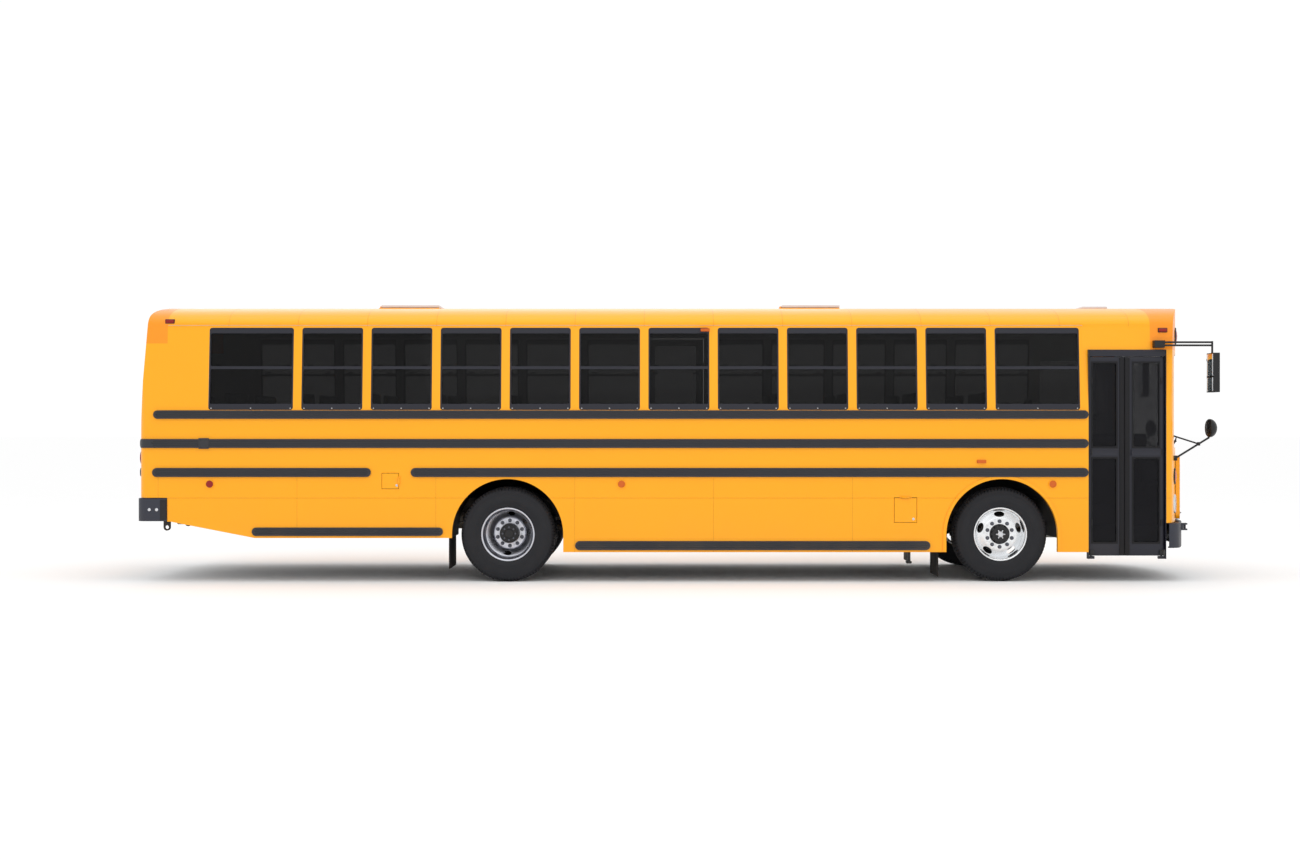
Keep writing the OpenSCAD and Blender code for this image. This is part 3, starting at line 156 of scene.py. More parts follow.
class Value:
    """A number that varies over a surface and can be used in sums as a plain number is."""

    def __init__(self, finish, socket):
        self.finish, self.socket = finish, socket

    def math(self, operation, *others):
        """Adds one Math node that works on this value first."""
        inputs = dict(enumerate((self,) + others))
        return self.finish.node("ShaderNodeMath", {"operation": operation}, inputs)

    def __add__(self, other):
        return self.math("ADD", other)

    __radd__ = __add__

    def __mul__(self, other):
        return self.math("MULTIPLY", other)

    __rmul__ = __mul__

    def __sub__(self, other):
        return self.math("SUBTRACT", other)

    def __rsub__(self, other):
        return self * -1 + other

    def __truediv__(self, other):
        return self.math("DIVIDE", other)

    def __pow__(self, other):
        return self.math("POWER", other)

    def __abs__(self):
        return self.math("ABSOLUTE")

    def near(self, place, reach):
        """1 where the value is within reach of a place, 0 elsewhere."""
        return self.math("COMPARE", place, reach)

    def above(self, place):
        """1 where the value is above a place, 0 elsewhere."""
        return self.math("GREATER_THAN", place)

    def least(self, other):
        return self.math("MINIMUM", other)

    def most(self, other):
        return self.math("MAXIMUM", other)

    def off_grid(self, pitch, start=0.0):
        """Distance from the nearest line of an even grid."""
        steps = (self - start) / pitch
        return abs(steps - steps.math("ROUND")) * pitch

    def ramp(self, low, high):
        """Rises smoothly from 0 at low to 1 at high."""
        return self.finish.node(
            "ShaderNodeMapRange", {"interpolation_type": "SMOOTHSTEP"},
            {"Value": self, "From Min": low, "From Max": high})


class Finish:
    """A material with its main shader and the nodes that feed it."""

    def __init__(self, name, constants):
        self.material = bpy.data.materials.new(name)
        self.material.use_nodes = True
        self.tree = self.material.node_tree
        self.shader = self.tree.nodes["Principled BSDF"]
        for socket, value in constants.items():
            self.shader.inputs[socket].default_value = value

    def node(self, kind, settings, inputs, output=0):
        """Adds a node, sets it up, joins its sockets and gives one of its outputs."""
        made = self.tree.nodes.new(kind)
        for key, value in settings.items():
            setattr(made, key, value)
        for key, value in inputs.items():
            if isinstance(value, Value):
                self.tree.links.new(value.socket, made.inputs[key])
            else:
                made.inputs[key].default_value = value
        return Value(self, made.outputs[output])

    def place(self):
        """Gives x, y and z of a point on the piece, in metres."""
        self.where = self.node("ShaderNodeTexCoord", {}, {}, "Object")
        return [self.node("ShaderNodeSeparateXYZ", {}, {0: self.where}, axis) for axis in "XYZ"]

    def facing(self):
        """Gives x, y and z of the direction that the surface faces."""
        way = self.node("ShaderNodeTexCoord", {}, {}, "Normal")
        return [self.node("ShaderNodeSeparateXYZ", {}, {0: way}, axis) for axis in "XYZ"]

    def noise(self, scale, detail=2.0, roughness=0.5):
        """Gives cloudy noise, about 0 to 1, with so many lumps to the metre."""
        return self.node("ShaderNodeTexNoise", {}, {
            "Vector": self.where, "Scale": scale, "Detail": detail, "Roughness": roughness})

    def streaks(self, along, across, up):
        """Gives noise drawn out by its own scale on each axis."""
        stretched = self.node(
            "ShaderNodeVectorMath", {"operation": "MULTIPLY"},
            {0: self.where, 1: (along, across, up)})
        return self.node("ShaderNodeTexNoise", {}, {
            "Vector": stretched, "Scale": 1.0, "Detail": 3.0})

    def cells(self, scale, feature="F1"):
        """Gives the distance to the nearest of many scattered points."""
        return self.node(
            "ShaderNodeTexVoronoi", {"feature": feature}, {"Vector": self.where, "Scale": scale})

    def mix(self, share, first, second):
        """Blends two colours by a share from 0 to 1."""
        sockets = {0: share, 6: first, 7: second}
        for key in (6, 7):
            if not isinstance(sockets[key], Value):
                sockets[key] = (*sockets[key], 1.0)
        return self.node("ShaderNodeMix", {"data_type": "RGBA"}, sockets, 2)

    def feed(self, **sockets):
        """Joins values to the main shader. Names are written with _ for a space."""
        for name, value in sockets.items():
            self.tree.links.new(value.socket, self.shader.inputs[name.replace("_", " ")])
        return self.material

    def bump(self, height, distance, strength):
        """Gives a surface direction bent by a height."""
        return self.node("ShaderNodeBump", {}, {
            "Height": height, "Distance": distance, "Strength": strength})


def shade(colour, factor):
    """Gives a colour made darker or lighter."""
    return tuple(min(1.0, part * factor) for part in colour[:3])


# ---- Finishes ----

DUST = from_screen(150, 128, 96)
SKIRT_SEAM_Z = 0.932
PANEL_PITCH = 1.5408
PANEL_START = -4.2515
RIVET_PITCH = 0.082
RIVET = 0.0045
SIGN_REACH = 0.233


def rivets(along, rows, at):
    """Gives a mask of round rivet heads in straight rows."""
    step = along.off_grid(RIVET_PITCH)
    nearest = None
    for row in rows:
        off = abs(at - row)
        nearest = off if nearest is None else nearest.least(off)
    reach = (step * step + nearest * nearest) ** 0.5
    return 1 - reach.ramp(RIVET * 0.55, RIVET)


def body_paint(paint):
    """Yellow coach paint with panel seams, rivets, road film low down and a pale cabin side."""
    yellow = Finish("body_paint", {
        "Specular IOR Level": 0.32, "Coat Weight": 0.22, "Coat Roughness": 0.12, "IOR": 1.45})
    x, y, z = yellow.place()
    facing_x, facing_y, facing_z = yellow.facing()
    inward = (1 - (facing_y * y).above(-0.45)).most((1 - facing_z.above(-0.5)) * z.above(2.5))
    inward = inward.most(1 - (facing_x * x).above(-5.2))
    on_side = abs(y).above(1.19)
    seam = z.near(SKIRT_SEAM_Z, 0.0016) * on_side
    joint = x.off_grid(PANEL_PITCH, PANEL_START).near(0.0, 0.0013)
    seam = seam.most(joint * on_side * (1 - z.above(1.16)))
    roof_seam = x.off_grid(PANEL_PITCH / 2, PANEL_START).near(0.0, 0.0018) * z.above(2.84)
    heads = rivets(x, (0.952, 1.640, 2.842), z) * abs(facing_y).above(0.6)
    off_joint = x.off_grid(PANEL_PITCH / 2, PANEL_START)
    heads = heads.most(rivets(y, (0.016,), off_joint) * z.above(2.84))
    cloud = yellow.noise(1.3, 3.0)
    film = (1 - z.ramp(0.34, 0.95)) * yellow.streaks(2.0, 2.0, 0.7).ramp(0.35, 0.8)
    colour = yellow.mix(cloud * 0.5, shade(paint.body, 1.0), shade(paint.body, 0.93))
    colour = yellow.mix(seam.most(roof_seam) * 0.55, colour, shade(paint.body, 0.25))
    colour = yellow.mix(film * 0.05, colour, DUST)
    colour = yellow.mix(inward, colour, paint.lining)
    peel = yellow.noise(240.0, 1.0)
    lift = heads * 0.8 - seam.most(roof_seam) + peel * 0.035
    return yellow.feed(
        Base_Color=colour, Roughness=0.26 + cloud * 0.05 + film * 0.12 + inward * 0.3,
        Normal=yellow.bump(lift, 0.0022, 0.8))


def cap_paint(paint):
    """Orange moulded cap with soft mottling and a pale underside."""
    orange = Finish("cap_paint", {
        "Specular IOR Level": 0.32, "Coat Weight": 0.2, "Coat Roughness": 0.15})
    x, _, _ = orange.place()
    facing_x, _, facing_z = orange.facing()
    inward = (1 - facing_z.above(-0.5)).most(1 - (facing_x * x).above(-5.0))
    mottle = orange.noise(3.5, 4.0)
    colour = orange.mix(mottle, shade(paint.cap, 0.92), shade(paint.cap, 1.05))
    colour = orange.mix(inward, colour, paint.lining)
    lift = orange.noise(160.0, 1.0) * 0.06 + mottle * 0.2
    return orange.feed(
        Base_Color=colour, Roughness=0.3 + mottle * 0.1, Normal=orange.bump(lift, 0.002, 0.6))


def enamel(name, colour, roughness, grain=0.5, dust=0.12, metallic=0.0):
    """Sprayed enamel with fine grain, cloudy gloss and road dust towards the ground."""
    coat = Finish(name, {"Specular IOR Level": 0.4, "Metallic": metallic})
    _, _, z = coat.place()
    cloud = coat.noise(2.2, 4.0)
    grit = coat.noise(420.0, 1.0)
    film = (1 - z.ramp(0.25, 1.25)) * coat.streaks(3.0, 3.0, 1.0).ramp(0.35, 0.85) * (dust * 0.4)
    tone = coat.mix(cloud, shade(colour, 0.88), shade(colour, 1.14))
    return coat.feed(
        Base_Color=coat.mix(film, tone, DUST),
        Roughness=roughness + cloud * 0.1 + grit * 0.06 + film,
        Normal=coat.bump(grit, 0.0005, grain))


def worn_steel(name, colour, rust):
    """Chassis black with chipped, rusty patches and baked dust."""
    steel = Finish(name, {"Specular IOR Level": 0.35})
    steel.place()
    cloud = steel.noise(5.0, 5.0, 0.6)
    patch = steel.noise(16.0, 6.0, 0.7).ramp(0.56, 0.7) * rust
    film = steel.streaks(4.0, 4.0, 2.0).ramp(0.3, 0.8) * 0.22
    tone = steel.mix(cloud, shade(colour, 0.75), shade(colour, 1.3))
    tone = steel.mix(patch, tone, from_screen(104, 62, 38))
    return steel.feed(
        Base_Color=steel.mix(film, tone, DUST), Roughness=0.5 + cloud * 0.2 + patch * 0.2,
        Normal=steel.bump(steel.noise(120.0, 3.0) + patch * 0.5, 0.0012, 0.6))


def wheel_metal(name, colour, centre, roughness, turning):
    """Bright wheel metal with fine rings left by turning, brake dust and a darker root."""
    metal = Finish(name, {"Metallic": 1.0, "Specular IOR Level": 0.5})
    x, _, z = metal.place()
    reach = ((x - centre[0]) ** 2 + (z - centre[2]) ** 2) ** 0.5
    rings = (reach * 1900.0).math("SINE")
    cloud = metal.noise(7.0, 4.0)
    dust = metal.noise(28.0, 5.0, 0.7).ramp(0.45, 0.75) * (1 - reach.ramp(0.1, 0.27))
    tone = metal.mix(cloud, shade(colour, 0.9), colour)
    return metal.feed(
        Base_Color=metal.mix(dust * 0.35, tone, from_screen(96, 88, 80)),
        Roughness=roughness + cloud * 0.08 + dust * 0.2,
        Normal=metal.bump(rings, 0.00012, turning))


def tyre_rubber(name, centre):
    """Black tyre rubber with moulded rings, fine shoulder ribs and dusty sidewalls."""
    rubber = Finish(name, {"Specular IOR Level": 0.28})
    x, _, z = rubber.place()
    across, up = x - centre[0], z - centre[2]
    reach = (across ** 2 + up ** 2) ** 0.5
    turn = across.math("ARCTAN2", up)
    rings = reach.near(0.352, 0.0022).most(reach.near(0.368, 0.0014))
    rings = rings.most(reach.near(0.448, 0.0025))
    ribs = (turn * 220.0).math("SINE").above(0.0) * reach.near(0.462, 0.009)
    dust = rubber.noise(9.0, 5.0, 0.65).ramp(0.35, 0.8)
    tread = reach.ramp(0.5, 0.52)
    tone = rubber.mix(dust * 0.35 + tread * 0.2, from_screen(29, 30, 34), from_screen(54, 54, 57))
    lift = rings + ribs * 0.6 + rubber.noise(260.0, 2.0) * 0.2
    return rubber.feed(
        Base_Color=tone, Roughness=0.62 + dust * 0.2, Normal=rubber.bump(lift, 0.0022, 0.8))


def soft_rubber(name, colour):
    """Dull black rubber for flaps, seals and floor mat, with fine ribs."""
    rubber = Finish(name, {"Specular IOR Level": 0.25})
    _, y, z = rubber.place()
    ribs = ((y * 620.0).math("SINE") * 0.5 + 0.5) * 0.6
    cloud = rubber.noise(6.0, 5.0, 0.6)
    tone = rubber.mix(cloud * 0.8, colour, shade(colour, 2.0))
    return rubber.feed(
        Base_Color=rubber.mix((1 - z.ramp(0.1, 0.6)) * cloud * 0.06, tone, DUST),
        Roughness=0.7 + cloud * 0.15,
        Normal=rubber.bump(ribs + rubber.noise(180.0, 2.0), 0.0008, 0.6))


def tinted_glass(name, tint, opacity, gloss=0.16):
    """Safety glass with its tint, faint wipe marks and dust in the corners."""
    glass = Finish(name, {"Specular IOR Level": gloss, "IOR": 1.45})
    glass.place()
    haze = glass.noise(3.0, 4.0).ramp(0.4, 0.9)
    tone = glass.mix(haze, tint, shade(tint, 1.25))
    return glass.feed(
        Base_Color=tone, Roughness=0.015 + haze * 0.02, Alpha=opacity + haze * 0.03)


def lens(name, colour, fluting, opacity=1.0):
    """Moulded lamp lens with a grid of small flutes over a brighter core; the lighter and darker
    colour along the flutes is painted highlight and shade.
    """
    cover = Finish(name, {
        "Specular IOR Level": 0.3, "Coat Weight": 0.2, "Coat Roughness": 0.06, "Alpha": opacity})
    x, y, z = cover.place()
    flutes = ((y * fluting).math("SINE") * 0.5 + (z * fluting).math("SINE") * 0.5
              + (x * fluting).math("SINE") * 0.5)
    cloud = cover.noise(30.0, 2.0)
    # Painted highlight and shade: the colour runs from a darker to a lighter copy of the lens
    # colour along the flutes.
    tone = cover.mix(flutes * 0.25 + 0.4, shade(colour, 0.55), shade(colour, 1.25))
    return cover.feed(
        Base_Color=tone, Roughness=0.12 + cloud * 0.08, Normal=cover.bump(flutes, 0.0012, 0.7))


def vinyl(name, colour):
    """Seat vinyl with pebble grain, soft creases and rubbed high spots."""
    cover = Finish(name, {"Specular IOR Level": 0.4})
    cover.place()
    pebbles = cover.cells(420.0)
    crease = cover.noise(14.0, 4.0, 0.6)
    rub = cover.noise(4.0, 3.0).ramp(0.45, 0.8)
    tone = cover.mix(rub * 0.6 + pebbles * 0.3, colour, shade(colour, 1.7))
    return cover.feed(
        Base_Color=tone, Roughness=0.42 + pebbles * 0.15 - rub * 0.1,
        Normal=cover.bump(pebbles * 0.25 + crease, 0.0022, 0.7))


def moulded_plastic(name, colour, roughness=0.5):
    """Moulded plastic with leather-like grain and a slight cast of dust."""
    plastic = Finish(name, {"Specular IOR Level": 0.4})
    plastic.place()
    grain = plastic.cells(300.0, "SMOOTH_F1")
    cloud = plastic.noise(5.0, 4.0)
    colours = plastic.mix(cloud, shade(colour, 0.86), shade(colour, 1.1))
    return plastic.feed(
        Base_Color=colours, Roughness=roughness + cloud * 0.12,
        Normal=plastic.bump(grain, 0.0008, 0.6))


def sign_face(name, centre, reach):
    """Red enamel sign, eight-sided, with a pale border and dimpled reflective film."""
    sign = Finish(name, {"Specular IOR Level": 0.5, "Coat Weight": 0.4})
    x, _, z = sign.place()
    across, up = abs(x - centre[0]), abs(z - centre[1])
    edge = across.most(up).most((across + up) * math.sqrt(0.5))
    border = edge.near(reach - 0.015, 0.007)
    cloud = sign.noise(8.0, 3.0)
    red = sign.mix(cloud, from_screen(172, 20, 22), from_screen(196, 32, 30))
    beads = sign.cells(700.0)
    return sign.feed(
        Base_Color=sign.mix(border, red, from_screen(238, 238, 232)), Roughness=0.3 + beads * 0.2,
        Normal=sign.bump(beads, 0.0004, 0.5))


def mirror_face(name):
    """Silvered mirror glass with a faint film of dust."""
    silver = Finish(name, {"Metallic": 1.0})
    silver.place()
    dust = silver.noise(12.0, 5.0, 0.6).ramp(0.5, 0.9)
    return silver.feed(
        Base_Color=silver.mix(dust, from_screen(214, 218, 222), from_screen(168, 166, 160)),
        Roughness=0.02 + dust * 0.15)


def stage_floor(name):
    """Matt white studio sheet."""
    sheet = Finish(name, {"Specular IOR Level": 0.0})
    sheet.place()
    return sheet.feed(
        Base_Color=sheet.mix(sheet.noise(0.8, 2.0), (0.955, 0.955, 0.955), (0.97, 0.97, 0.97)),
        Roughness=0.9 + sheet.noise(3.0) * 0.05)


FINISHES = {}


def mix_finishes():
    """Makes every finish once, from the colours in the panel."""
    paint = bpy.context.scene.bus_paint
    front, rear = wheel_centre("front_right_rim"), wheel_centre("rear_right_rims")
    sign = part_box("stop_arm")
    FINISHES.update({
        "body": body_paint(paint), "cap": cap_paint(paint),
        "rail": enamel("rail_enamel", paint.rail, 0.42, 0.6, 0.2),
        "navy": enamel("navy_enamel", paint.trim, 0.3, 0.4, 0.08),
        "bumper": enamel("bumper_enamel", from_screen(44, 47, 58), 0.4, 0.8, 0.25),
        "black": enamel("black_enamel", from_screen(20, 20, 22), 0.38, 0.5, 0.1),
        "arm": enamel("arm_enamel", paint.body, 0.4, 0.4, 0.1),
        "grey": enamel("grey_enamel", from_screen(92, 95, 98), 0.45, 0.5, 0.1),
        "lining": enamel("lining_enamel", paint.lining, 0.5, 0.5, 0.0),
        "chassis": worn_steel("chassis_steel", from_screen(40, 40, 42), 0.5),
        "cast": worn_steel("cast_iron", from_screen(70, 70, 72), 0.35),
        "pipe": worn_steel("pipe_steel", from_screen(112, 106, 98), 0.9),
        "screw": enamel("screw_steel", from_screen(190, 190, 192), 0.25, 0.3, 0.05, 1.0),
        "front_metal": wheel_metal(
            "front_wheel_metal", from_screen(236, 238, 240), front, 0.16, 0.35),
        "rear_metal": wheel_metal(
            "rear_wheel_metal", from_screen(206, 208, 216), rear, 0.24, 0.5),
        "nut_metal": enamel("nut_steel", from_screen(92, 94, 102), 0.32, 0.3, 0.0, 0.8),
        "star": enamel("star_steel", from_screen(206, 208, 212), 0.22, 0.2, 0.0, 1.0),
        "hub": enamel("hub_black", from_screen(22, 22, 24), 0.3, 0.4, 0.05),
        "front_tyre": tyre_rubber("front_tyre_rubber", front),
        "rear_tyre": tyre_rubber("rear_tyre_rubber", rear),
        "rubber": soft_rubber("soft_rubber", from_screen(24, 24, 26)),
        "mat": soft_rubber("floor_mat", from_screen(46, 48, 50)),
        "side_glass": tinted_glass("side_glass", from_screen(12, 12, 13), 0.7),
        "clear_glass": tinted_glass("clear_glass", from_screen(60, 70, 72), 0.26, 0.4),
        "door_glass": tinted_glass("door_glass", from_screen(18, 18, 22), 0.8),
        "clear_lens": lens("clear_lens", from_screen(236, 240, 244), 420.0, 0.35),
        # The amber lens finish also colours the cross-view mirror domes, where its amber is a
        # painted reflection of the orange body.
        "amber_lens": lens("amber_lens", from_screen(214, 98, 6), 520.0),
        "red_lens": lens("red_lens", from_screen(150, 16, 12), 520.0),
        "bright": enamel("bright_trim", from_screen(206, 208, 212), 0.14, 0.2, 0.0, 1.0),
        "vinyl": vinyl("seat_vinyl", paint.vinyl),
        "dash": moulded_plastic("dash_plastic", from_screen(58, 60, 64)),
        "black_plastic": moulded_plastic("black_plastic", from_screen(26, 26, 28)),
        "hatch": moulded_plastic("hatch_plastic", from_screen(214, 214, 220), 0.35),
        "sign": sign_face(
            "sign_face", (sign[0].x + SIGN_REACH, (sign[0].z + sign[1].z) / 2), 0.225),
        "mirror": mirror_face("mirror_face"),
        "stage": stage_floor("stage_sheet"),
    })


def wheel_centre(rim):
    """Gives the middle of a wheel from its CAD node's box."""
    low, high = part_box(rim)
    return (low + high) / 2


# ---- Modelling steps shared by the pieces ----

SAME_POINT = 0.00002
SIDES = (-1, 1)
BEHIND = (-1, 0, 0)
LEFT, RIGHT = (0, 1, 0), (0, -1, 0)
UP, DOWN = (0, 0, 1), (0, 0, -1)


def pick(*pieces):
    """Selects these pieces alone and makes the last one active."""
    if bpy.context.mode != "OBJECT":
        leave()
    bpy.ops.object.select_all(action="DESELECT")
    for piece in pieces:
        piece.select_set(True)
    bpy.context.view_layer.objects.active = pieces[-1] if pieces else None


def leave():
    """Goes back from edit mode to object mode."""
    bpy.ops.object.mode_set(mode="OBJECT")


def opened(piece):
    """Opens a piece alone in edit mode, selected all over."""
    pick(piece)
    bpy.ops.object.mode_set(mode="EDIT")
    bpy.ops.mesh.select_all(action="SELECT")


def inset(width, depth=0.0):
    """Insets the selected faces, and raises or sinks them."""
    bpy.ops.mesh.inset(thickness=width, depth=depth)


def extrude(move):
    """Extrudes the selection by a move."""
    bpy.ops.mesh.extrude_region_move(TRANSFORM_OT_translate={"value": move})


def nudge(move):
    """Moves the selection."""
    bpy.ops.transform.translate(value=move)


def settle(piece):
    """Puts a piece's place, turn and size into its mesh."""
    pick(piece)
    bpy.ops.object.transform_apply(location=True, rotation=True, scale=True)
    return piece


def block(low, high):
    """Adds a box between two corners."""
    pick()
    low, high = Vector(low), Vector(high)
    bpy.ops.mesh.primitive_cube_add(size=1, location=(low + high) / 2, scale=high - low)
    return settle(bpy.context.object)


def rod(start, end, radius, sides=20):
    """Adds a round bar between two points."""
    pick()
    start, end = Vector(start), Vector(end)
    turn = (end - start).to_track_quat("Z", "Y").to_euler()
    bpy.ops.mesh.primitive_cone_add(
        vertices=sides, radius1=radius, radius2=radius, depth=(end - start).length,
        location=(start + end) / 2, rotation=turn)
    return settle(bpy.context.object)


def bent_tube(points, radius, sides=12):
    """Adds a round tube along a path with softened corners."""
    pick()
    bpy.ops.curve.primitive_nurbs_path_add()
    path = bpy.context.object
    path.data.splines.clear()
    spline = path.data.splines.new("NURBS")
    spline.points.add(len(points) - 1)
    for point, place in zip(spline.points, points):
        point.co = (*place, 1.0)
    spline.order_u = 3
    spline.use_endpoint_u = True
    spline.resolution_u = 8
    path.data.bevel_depth = radius
    path.data.bevel_resolution = max(2, sides // 4)
    path.data.use_fill_caps = True
    pick(path)
    bpy.ops.object.convert(target="MESH")
    return settle(bpy.context.object)


def turned(profile, centre, way, steps=48):
    """Turns a profile of (radius, reach along the way) pairs about an axis through a centre."""
    pick()
    bpy.ops.mesh.primitive_plane_add(size=0.001)
    piece = bpy.context.object
    bpy.ops.object.mode_set(mode="EDIT")
    bpy.ops.mesh.select_mode(type="VERT")
    bpy.ops.mesh.select_all(action="SELECT")
    bpy.ops.mesh.merge(type="CENTER")
    nudge((profile[0][0], 0, profile[0][1]))
    for (radius, reach), (next_radius, next_reach) in zip(profile, profile[1:]):
        extrude((next_radius - radius, 0, next_reach - reach))
    bpy.ops.mesh.select_all(action="SELECT")
    bpy.ops.mesh.spin(steps=steps, angle=2 * math.pi, center=(0, 0, 0), axis=(0, 0, 1))
    bpy.ops.mesh.select_all(action="SELECT")
    bpy.ops.mesh.remove_doubles(threshold=SAME_POINT)
    bpy.ops.mesh.normals_make_consistent(inside=False)
    leave()
    piece.rotation_euler = Vector(way).to_track_quat("Z", "Y").to_euler()
    piece.location = centre
    return settle(piece)


def rounded(piece, width, segments=2, angle=35.0):
    """Rounds a piece's sharp edges."""
    pick(piece)
    edges = piece.modifiers.new("rounding", "BEVEL")
    edges.width, edges.segments, edges.limit_method = width, segments, "ANGLE"
    edges.angle_limit = math.radians(angle)
    bpy.ops.object.modifier_apply(modifier=edges.name)
    return piece


def shaded(piece, angle=32.0):
    """Smooths the shading over a piece's gentle bends."""
    pick(piece)
    bpy.ops.object.shade_smooth_by_angle(angle=math.radians(angle))
    return piece


def pierced(piece, tool):
    """Cuts a tool's shape out of a piece and throws the tool away."""
    cut = piece.modifiers.new("cut", "BOOLEAN")
    cut.object, cut.operation, cut.solver = tool, "DIFFERENCE", "EXACT"
    pick(piece)
    bpy.ops.object.modifier_apply(modifier=cut.name)
    bpy.data.objects.remove(tool)
    return piece


def another(piece, shift=(0, 0, 0), turn=None):
    """Copies a piece with its own mesh, moved or turned as told."""
    twin = piece.copy()
    twin.data = piece.data.copy()
    bpy.context.scene.collection.objects.link(twin)
    twin.data.transform(Matrix.Translation(shift) @ (turn or Matrix.Identity(4)))
    return twin


def spun_about(centre, way, angle):
    """Gives the turn by an angle about an axis through a centre."""
    centre = Vector(centre)
    return (Matrix.Translation(centre) @ Matrix.Rotation(angle, 4, Vector(way))
            @ Matrix.Translation(-centre))


def spread(piece, places):
    """Sets a copy of a piece at each place and throws the piece away."""
    copies = [another(piece, place) for place in places]
    bpy.data.objects.remove(piece)
    return copies


def spun(piece, centre, angles):
    """Sets a copy of a piece at each angle about an axle and throws the piece away."""
    copies = [another(piece, turn=spun_about(centre, LEFT, angle)) for angle in angles]
    bpy.data.objects.remove(piece)
    return copies


def across_bus(piece):
    """Copies a piece to the other side of the bus, with its faces turned out again."""
    twin = another(piece, turn=Matrix.Scale(-1, 4, (0, 1, 0)))
    opened(twin)
    bpy.ops.mesh.flip_normals()
    leave()
    return twin


def joined(name, pieces):
    """Makes several pieces one and names it."""
    pieces = list(pieces)
    pick(*pieces)
    if len(pieces) > 1:
        bpy.ops.object.join()
    whole = bpy.context.object
    whole.name = name
    whole.data.name = name
    return whole


def choose_faces(piece, test):
    """Selects the faces whose middle and normal pass a test, in edit mode."""
    pick(piece)
    bpy.ops.object.mode_set(mode="EDIT")
    bpy.ops.mesh.select_mode(type="FACE")
    bpy.ops.mesh.select_all(action="DESELECT")
    leave()
    for face in piece.data.polygons:
        face.select = bool(test(face.center, face.normal))
    bpy.ops.object.mode_set(mode="EDIT")


def choose_side(piece, way):
    """Selects the faces that look along a way, in edit mode."""
    choose_faces(piece, lambda middle, normal: normal.dot(Vector(way)) > 0.5)


def without(piece, test):
    """Takes away the faces whose middle and normal pass a test."""
    choose_faces(piece, test)
    bpy.ops.mesh.delete(type="FACE")
    leave()


def choose_edges(piece, test):
    """Selects the edges whose two ends pass a test, in edit mode."""
    pick(piece)
    bpy.ops.object.mode_set(mode="EDIT")
    bpy.ops.mesh.select_mode(type="EDGE")
    bpy.ops.mesh.select_all(action="DESELECT")
    leave()
    points = piece.data.vertices
    for edge in piece.data.edges:
        edge.select = bool(test(*(points[index].co for index in edge.vertices)))
    bpy.ops.object.mode_set(mode="EDIT")


def dressed(piece, body, finish, nodes=(), angle=32.0):
    """Gives a finished piece its finish, its body and the CAD nodes it stands for."""
    shaded(piece, angle)
    piece.data.materials.clear()
    piece.data.materials.append(FINISHES[finish])
    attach(piece, body)
    if nodes:
        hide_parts(*nodes)
    return piece


def fitted(name, pieces, body, finish, nodes=(), angle=32.0):
    """Joins several pieces under one name and dresses them."""
    return dressed(joined(name, pieces), body, finish, nodes, angle)


def both_hands(piece, name, body, finish, nodes=""):
    """Dresses a right-hand piece and its mirror twin, and gives the twin."""
    twin = across_bus(piece)
    for one, hand in ((piece, "right"), (twin, "left")):
        one.name = one.data.name = name.format(hand)
        stands_for = (nodes.format(hand),) if nodes else ()
        dressed(one, body.format(hand), finish, stands_for)
    return twin


def body_of(node):
    """Gives the name of the body that a CAD node rides on."""
    return NODES[node]["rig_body"]


def levelled(piece):
    """Joins the faces that lie in one plane."""
    opened(piece)
    bpy.ops.mesh.dissolve_limited(angle_limit=math.radians(0.2))
    leave()


def even_light(piece):
    """Weighs the corner normals by face size, so that flat panels stay flat beside a curve."""
    weigh = piece.modifiers.new("weigh", "WEIGHTED_NORMAL")
    weigh.mode, weigh.weight, weigh.keep_sharp = "FACE_AREA", 90, True
    pick(piece)
    bpy.ops.object.modifier_apply(modifier=weigh.name)


def refined(node, finish, angle=28.0, width=0.0, panels=False):
    """Copies a CAD node, merges its loose faces, smooths it and dresses it in place of the node."""
    source = NODES[node]
    piece = source.copy()
    piece.data = source.data.copy()
    piece.parent = None
    bpy.context.scene.collection.objects.link(piece)
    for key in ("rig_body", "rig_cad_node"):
        if key in piece:
            del piece[key]
    opened(piece)
    bpy.ops.mesh.remove_doubles(threshold=SAME_POINT)
    leave()
    piece.name = piece.data.name = node + "_finished"
    if width:
        rounded(piece, width, 2, 50.0)
    if panels:
        levelled(piece)
    dressed(piece, body_of(node), finish, (node,), angle)
    if panels:
        even_light(piece)
    return piece


def repaint(node, finish):
    """Gives a CAD node whose shape is right its finish."""
    mesh = NODES[node].data
    mesh.materials.clear()
    mesh.materials.append(FINISHES[finish])


# ---- The outside of the bus ----

HALF_WIDTH = 1.219
REAR_X = -6.012
BOW_CENTRE = 3.158
BOW_RADIUS = 2.6
BOW_LAMPS_X = 5.41
EXIT_X = (-0.376, 0.392)
SILL_Z = 1.909
RAIL_PROUD = 0.018
LEAN_IN, LEAN_UP, LEAN_START = 0.061, 0.925, 1.905
SASH_Z = 2.38
ROW_START = -4.205
ROW_PITCH = 0.7704
WINDOW_W = 0.6774
WIDE_WINDOWS = ((-5.237, -4.298), (3.500, 4.439))
RAILS = (
    (-5.843, 4.526, 1.811, 1.905), (-5.885, 4.526, 1.488, 1.587), (-5.855, -3.432, 1.166, 1.266),
    (-2.988, 4.526, 1.166, 1.266), (-4.750, -2.632, 0.512, 0.605), (-1.165, 2.773, 0.355, 0.455))


def window_spans():
    """Gives the two ends of each window along a side, from the rear."""
    row = [(ROW_START + k * ROW_PITCH, ROW_START + k * ROW_PITCH + WINDOW_W) for k in range(10)]
    return [WIDE_WINDOWS[0], *row, WIDE_WINDOWS[1]]


def window_y(height):
    """Gives how far out the side stands at a height above the sill."""
    return HALF_WIDTH - LEAN_IN * (height - LEAN_START) / LEAN_UP


def bow_x(y, grow=0.0):
    """Gives how far forward the bowed front stands at a place across it."""
    return BOW_CENTRE + math.sqrt((BOW_RADIUS + grow) ** 2 - y * y)


